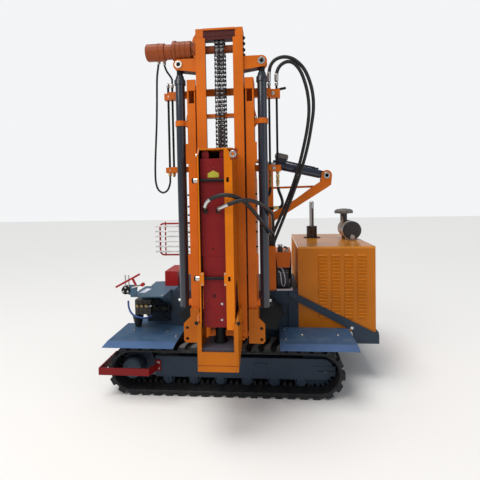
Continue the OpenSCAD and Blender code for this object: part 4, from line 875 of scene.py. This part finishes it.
def make_engine_end():
    shape = dressed("exhaust", burnt_steel, (lambda c: c.z < 1.2562, black_paint), (lambda c: c.z > 1.3845, steel))
    shape.box((0.886, 0.4925, 1.386), (0.901, 0.4975, 1.59), burnt_steel, 0.001)
    shape.turned([(0, 0.0262), (0.01, 0.0245), (0.018, 0.018), (0.022, 0.006)], (0.885, 0.52, 1.652), UP, zinc, 28)
    shape.made("chassis", "bare_steel")

    def on_canister(c):
        return c.z < 1.46 and 0.2241 < c.y < 0.545 and (c.x - 1.28) ** 2 + (c.z - 1.355) ** 2 > 0.09 ** 2

    shape = dressed("air_cleaner", black_plastic, (on_canister, bronze), (lambda c: c.z > 1.519, grey_plastic),
                    (lambda c: c.y < 0.1999 and c.z < 1.32, steel),
                    (lambda c: 0.2139 < c.y < 0.2241 and c.z < 1.46, zinc))
    for y in (0.3, 0.4, 0.49):
        shape.turned([(0, 0.0965), (0.003, 0.0985), (0.009, 0.0985), (0.012, 0.0965)], (1.28, y, 1.355), (0, 1, 0),
                     bronze, 48)
    shape.turned([(0, 0.086), (0.006, 0.099), (0.02, 0.102), (0.034, 0.092), (0.044, 0.07)],
                 (1.228, 0.4, 1.536), UP, grey_plastic, 40)
    shape.turned([(0, 0.094), (0.004, 0.094), (0.006, 0.088), (0.003, 0.06), (0.003, 0.001)],
                 (1.28, 0.2005, 1.355), FRONT, black_plastic, 40)
    shape.made("chassis", "black_plastic")
    shape = dressed("oil_tank", orange, (lambda c: c.z < 1.0379, black_paint),
                    (lambda c: c.z > 1.1852 and c.x < 0.54, black_plastic),
                    (lambda c: c.z > 1.1852 and c.x > 0.54, zinc), (lambda c: c.z > 1.24 and c.x < 0.54, zinc))
    shape.tube([(0.572, -0.2, 1.205), (0.572, -0.2, 1.222), (0.56, -0.205, 1.232), (0.54, -0.21, 1.232)],
               0.009, black_plastic, 12)
    for y in (-0.215, -0.12, 0.11):
        shape.bolt((0.54, y, 1.185), UP, 0.016, zinc)
    shape.made("chassis", "orange")


def make_engine_details():
    extra = Shape("engine_end_details")
    extra.rod((0.447, -0.29, 1.812), (0.846, -0.29, 1.818), 0.0085, orange, 16)
    # Battery's cable in front of it, its strap and its poles
    extra.tube(smooth_route([(0.5, -0.2, 1.026), (0.508, -0.232, 1.036), (0.53, -0.242, 1.01),
                             (0.549, -0.244, 0.93), (0.545, -0.244, 0.862), (0.52, -0.244, 0.866),
                             (0.51, -0.244, 0.93), (0.503, -0.242, 0.985), (0.485, -0.236, 1.002)], 5),
               0.0048, white, 8)
    extra.box((0.468, -0.2295, 0.982), (0.583, -0.2265, 0.99), white, 0.0005)
    for y in (-0.2, -0.09):
        extra.turned([(0, 0.012), (0.008, 0.012), (0.01, 0.008)], (0.5, y, 1.0265), UP, zinc, 16)
    # Strip along the deck's edge, and a bolt in the brace
    extra.box((0.463, -0.329, 0.8298), (0.618, -0.306, 0.843), white, 0.002)
    extra.box((0.603, -0.306, 0.8298), (0.618, 0.48, 0.843), white, 0.002)
    extra.bolt((1.161, -0.352, 0.487), FRONT, 0.024, zinc)
    extra.made("chassis", "bare_steel")


def make_hood_louvres():
    """A raised lip over each slot of the hood's front, in a lighter orange as painted highlight, with a dark strip
    of painted shade under it, and three caps on its inner side.
    """
    hood = Shape("hood_louvres")
    lip = [(-0.001, 0.012, 0.0), (0.0, 0.004, 0.01), (0.0, -0.002, 0.0115), (0.0, -0.004, 0.0095),
           (-0.001, -0.004, 0.0)]
    for column in range(LOUVRE_COLUMNS):
        x = 0.86 + 0.12 * column
        for row in range(LOUVRE_ROWS):
            z = 0.571 + 0.032 * (row + 0.5)
            # Each lip in a lighter orange: painted highlight
            hood.skin([[(at_x, HOOD_Y - inset - out * k, z + height) for inset, height, out in lip]
                       for at_x, k in ((x, 0.2), (x + 0.01, 1.0), (x + 0.072, 1.0), (x + 0.082, 0.2))],
                      lit_louvre_orange)
            # A dark strip under each lip: painted shade
            hood.box((x + 0.005, HOOD_Y - 0.0008, z - 0.012), (x + 0.077, HOOD_Y + 0.0005, z - 0.004), deep_orange)
    for y in (0.797, 0.448, 0.051):
        hood.turned([(0, 0.016), (0.001, 0.016), (0.0012, 0.002)], (HOOD_X + 0.0005, y, 0.78), LEFT, black_paint, 20)
    hood.made("chassis", "orange", sharp=25)


def make_ground_gear():
    """Bolts of the step plates, the track frames and the guard, and the drives' covers."""
    for name in ("step_plate_front", "step_plate_rear"):
        # The plates' front lips take a brighter blue: painted reflection of the sky
        dressed(name, steel_blue, (lambda c: c.y < -0.7501, sky_sheen_blue)).made("chassis", "steel_blue")
    steps = Shape("step_bolts")
    for x, y in ((-0.886, -0.468), (-0.557, -0.48), (-0.441, -0.616), (0.526, -0.397), (0.689, -0.542),
                 (0.536, -0.651), (1.006, -0.538)):
        steps.bolt((x, y, STEP_Z), UP, 0.022, zinc)
    steps.made("chassis", "bare_steel")
    gear = Shape("track_gear")
    cover = [(0, 0.088), (0.046, 0.088), (0.054, 0.082), (0.06, 0.08), (0.06, 0.058), (0.054, 0.056),
             (0.054, 0.001)]
    for side in SIDES:
        out = (0, side, 0)

        def at(x, proud, z):
            return x, side * (BEAM_FACE + proud), z

        gear.turned(cover, at(-0.828, 0, 0.216), out, hub_grey, 48)
        gear.bolt_circle(at(-0.828, 0.06, 0.216), 0.069, range(0, 360, 40), out, 0.012, hub_grey)
        gear.box(at(0.258, -0.001, 0.148), at(0.378, 0.004, 0.268), dark_grey, 0.001)
        for x in (0.27, 0.366):
            for z in (0.16, 0.256):
                gear.bolt(at(x, 0.004, z), out, 0.01, dark_grey)
        gear.box(at(0.765, -0.002, 0.166), at(0.96, 0.0035, 0.25), dark_grey, 0.001)
        gear.box(at(0.804, 0.003, 0.202), at(0.946, 0.0042, 0.213), black_paint, 0.0004)
        gear.bolt(at(0.874, 0.004, 0.206), out, 0.024, hub_grey)
        for i in range(ROLLER_COUNT):
            x = ROLLER_MID + (i - (ROLLER_COUNT - 1) / 2) * ROLLER_PITCH
            gear.bolt(at(x, 0, 0.104), out, 0.024, dark_grey)
    for z in (0.257, 0.206):
        gear.bolt((-0.604, -0.662, z), FRONT, 0.02, zinc)
    gear.made("chassis", "dark_grey")


def make_stage():
    """Pale floor with the object's soft shadow, and even studio light."""
    mesh = bmesh.new()
    bmesh.ops.create_grid(mesh, x_segments=1, y_segments=1, size=30.0)
    data = bpy.data.meshes.new("floor")
    mesh.to_mesh(data)
    mesh.free()
    floor = add_object("floor", data)
    floor.location.z = -0.001
    data.materials.append(Look("floor").done((0.86, 0.86, 0.85, 1), 0.9, specular=0.1))

    world = bpy.data.worlds.new("studio")
    scene.world = world
    world.use_nodes = True
    tree = world.node_tree
    light = tree.nodes["Background"]
    feed(tree, light, {"Color": (0.93, 0.95, 1.0, 1), "Strength": 0.42})
    # What the camera sees behind the object is paler than the light
    pale = add_node(tree, "ShaderNodeBackground", {"Color": (0.9, 0.91, 0.92, 1), "Strength": 1.0})
    seen = add_node(tree, "ShaderNodeLightPath").outputs["Is Camera Ray"]
    mix = add_node(tree, "ShaderNodeMixShader", {"Fac": seen, 1: light.outputs[0], 2: pale.outputs[0]})
    feed(tree, tree.nodes["World Output"], {"Surface": mix.outputs[0]})

    for name, place, size, power, colour in (
        ("key", (-3.5, -6.0, 6.0), 4.0, 220, (1.0, 0.95, 0.86)),
        ("fill", (5.5, -4.5, 3.0), 4.0, 38, (0.93, 0.96, 1.0)),
        ("sun", (-0.8, -1.0, 6.0), 0.0, 1.7, (1.0, 0.98, 0.95)),
    ):
        data = bpy.data.lights.new(name, "AREA" if size else "SUN")
        data.energy, data.color = power, colour
        if size:
            data.size = size
        else:
            data.angle = radians(35)
        lamp = add_object(name, data)
        lamp.location = place
        lamp.rotation_mode = "QUATERNION"
        lamp.rotation_quaternion = (Vector((0.2, -0.4, 1.2)) - Vector(place)).to_track_quat("-Z", "Y")
    scene.view_settings.view_transform = "Standard"


make_camera()
for hose_name in HOSES:
    make_hose(hose_name)
for cad_material, node_names in CAD_MATERIALS.items():
    for node_name in node_names:
        for material_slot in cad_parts[node_name].material_slots:
            material_slot.material = cad_material
make_track("track_left", -1)
make_track("track_right", 1)
make_chain()
make_pipes()
make_cylinders()
make_tilt_barrel()
make_gearbox()
make_carriage()
make_hammer()
make_mast_details()
make_controls()
make_engine_end()
make_engine_details()
make_hood_louvres()
make_ground_gear()
make_stage()
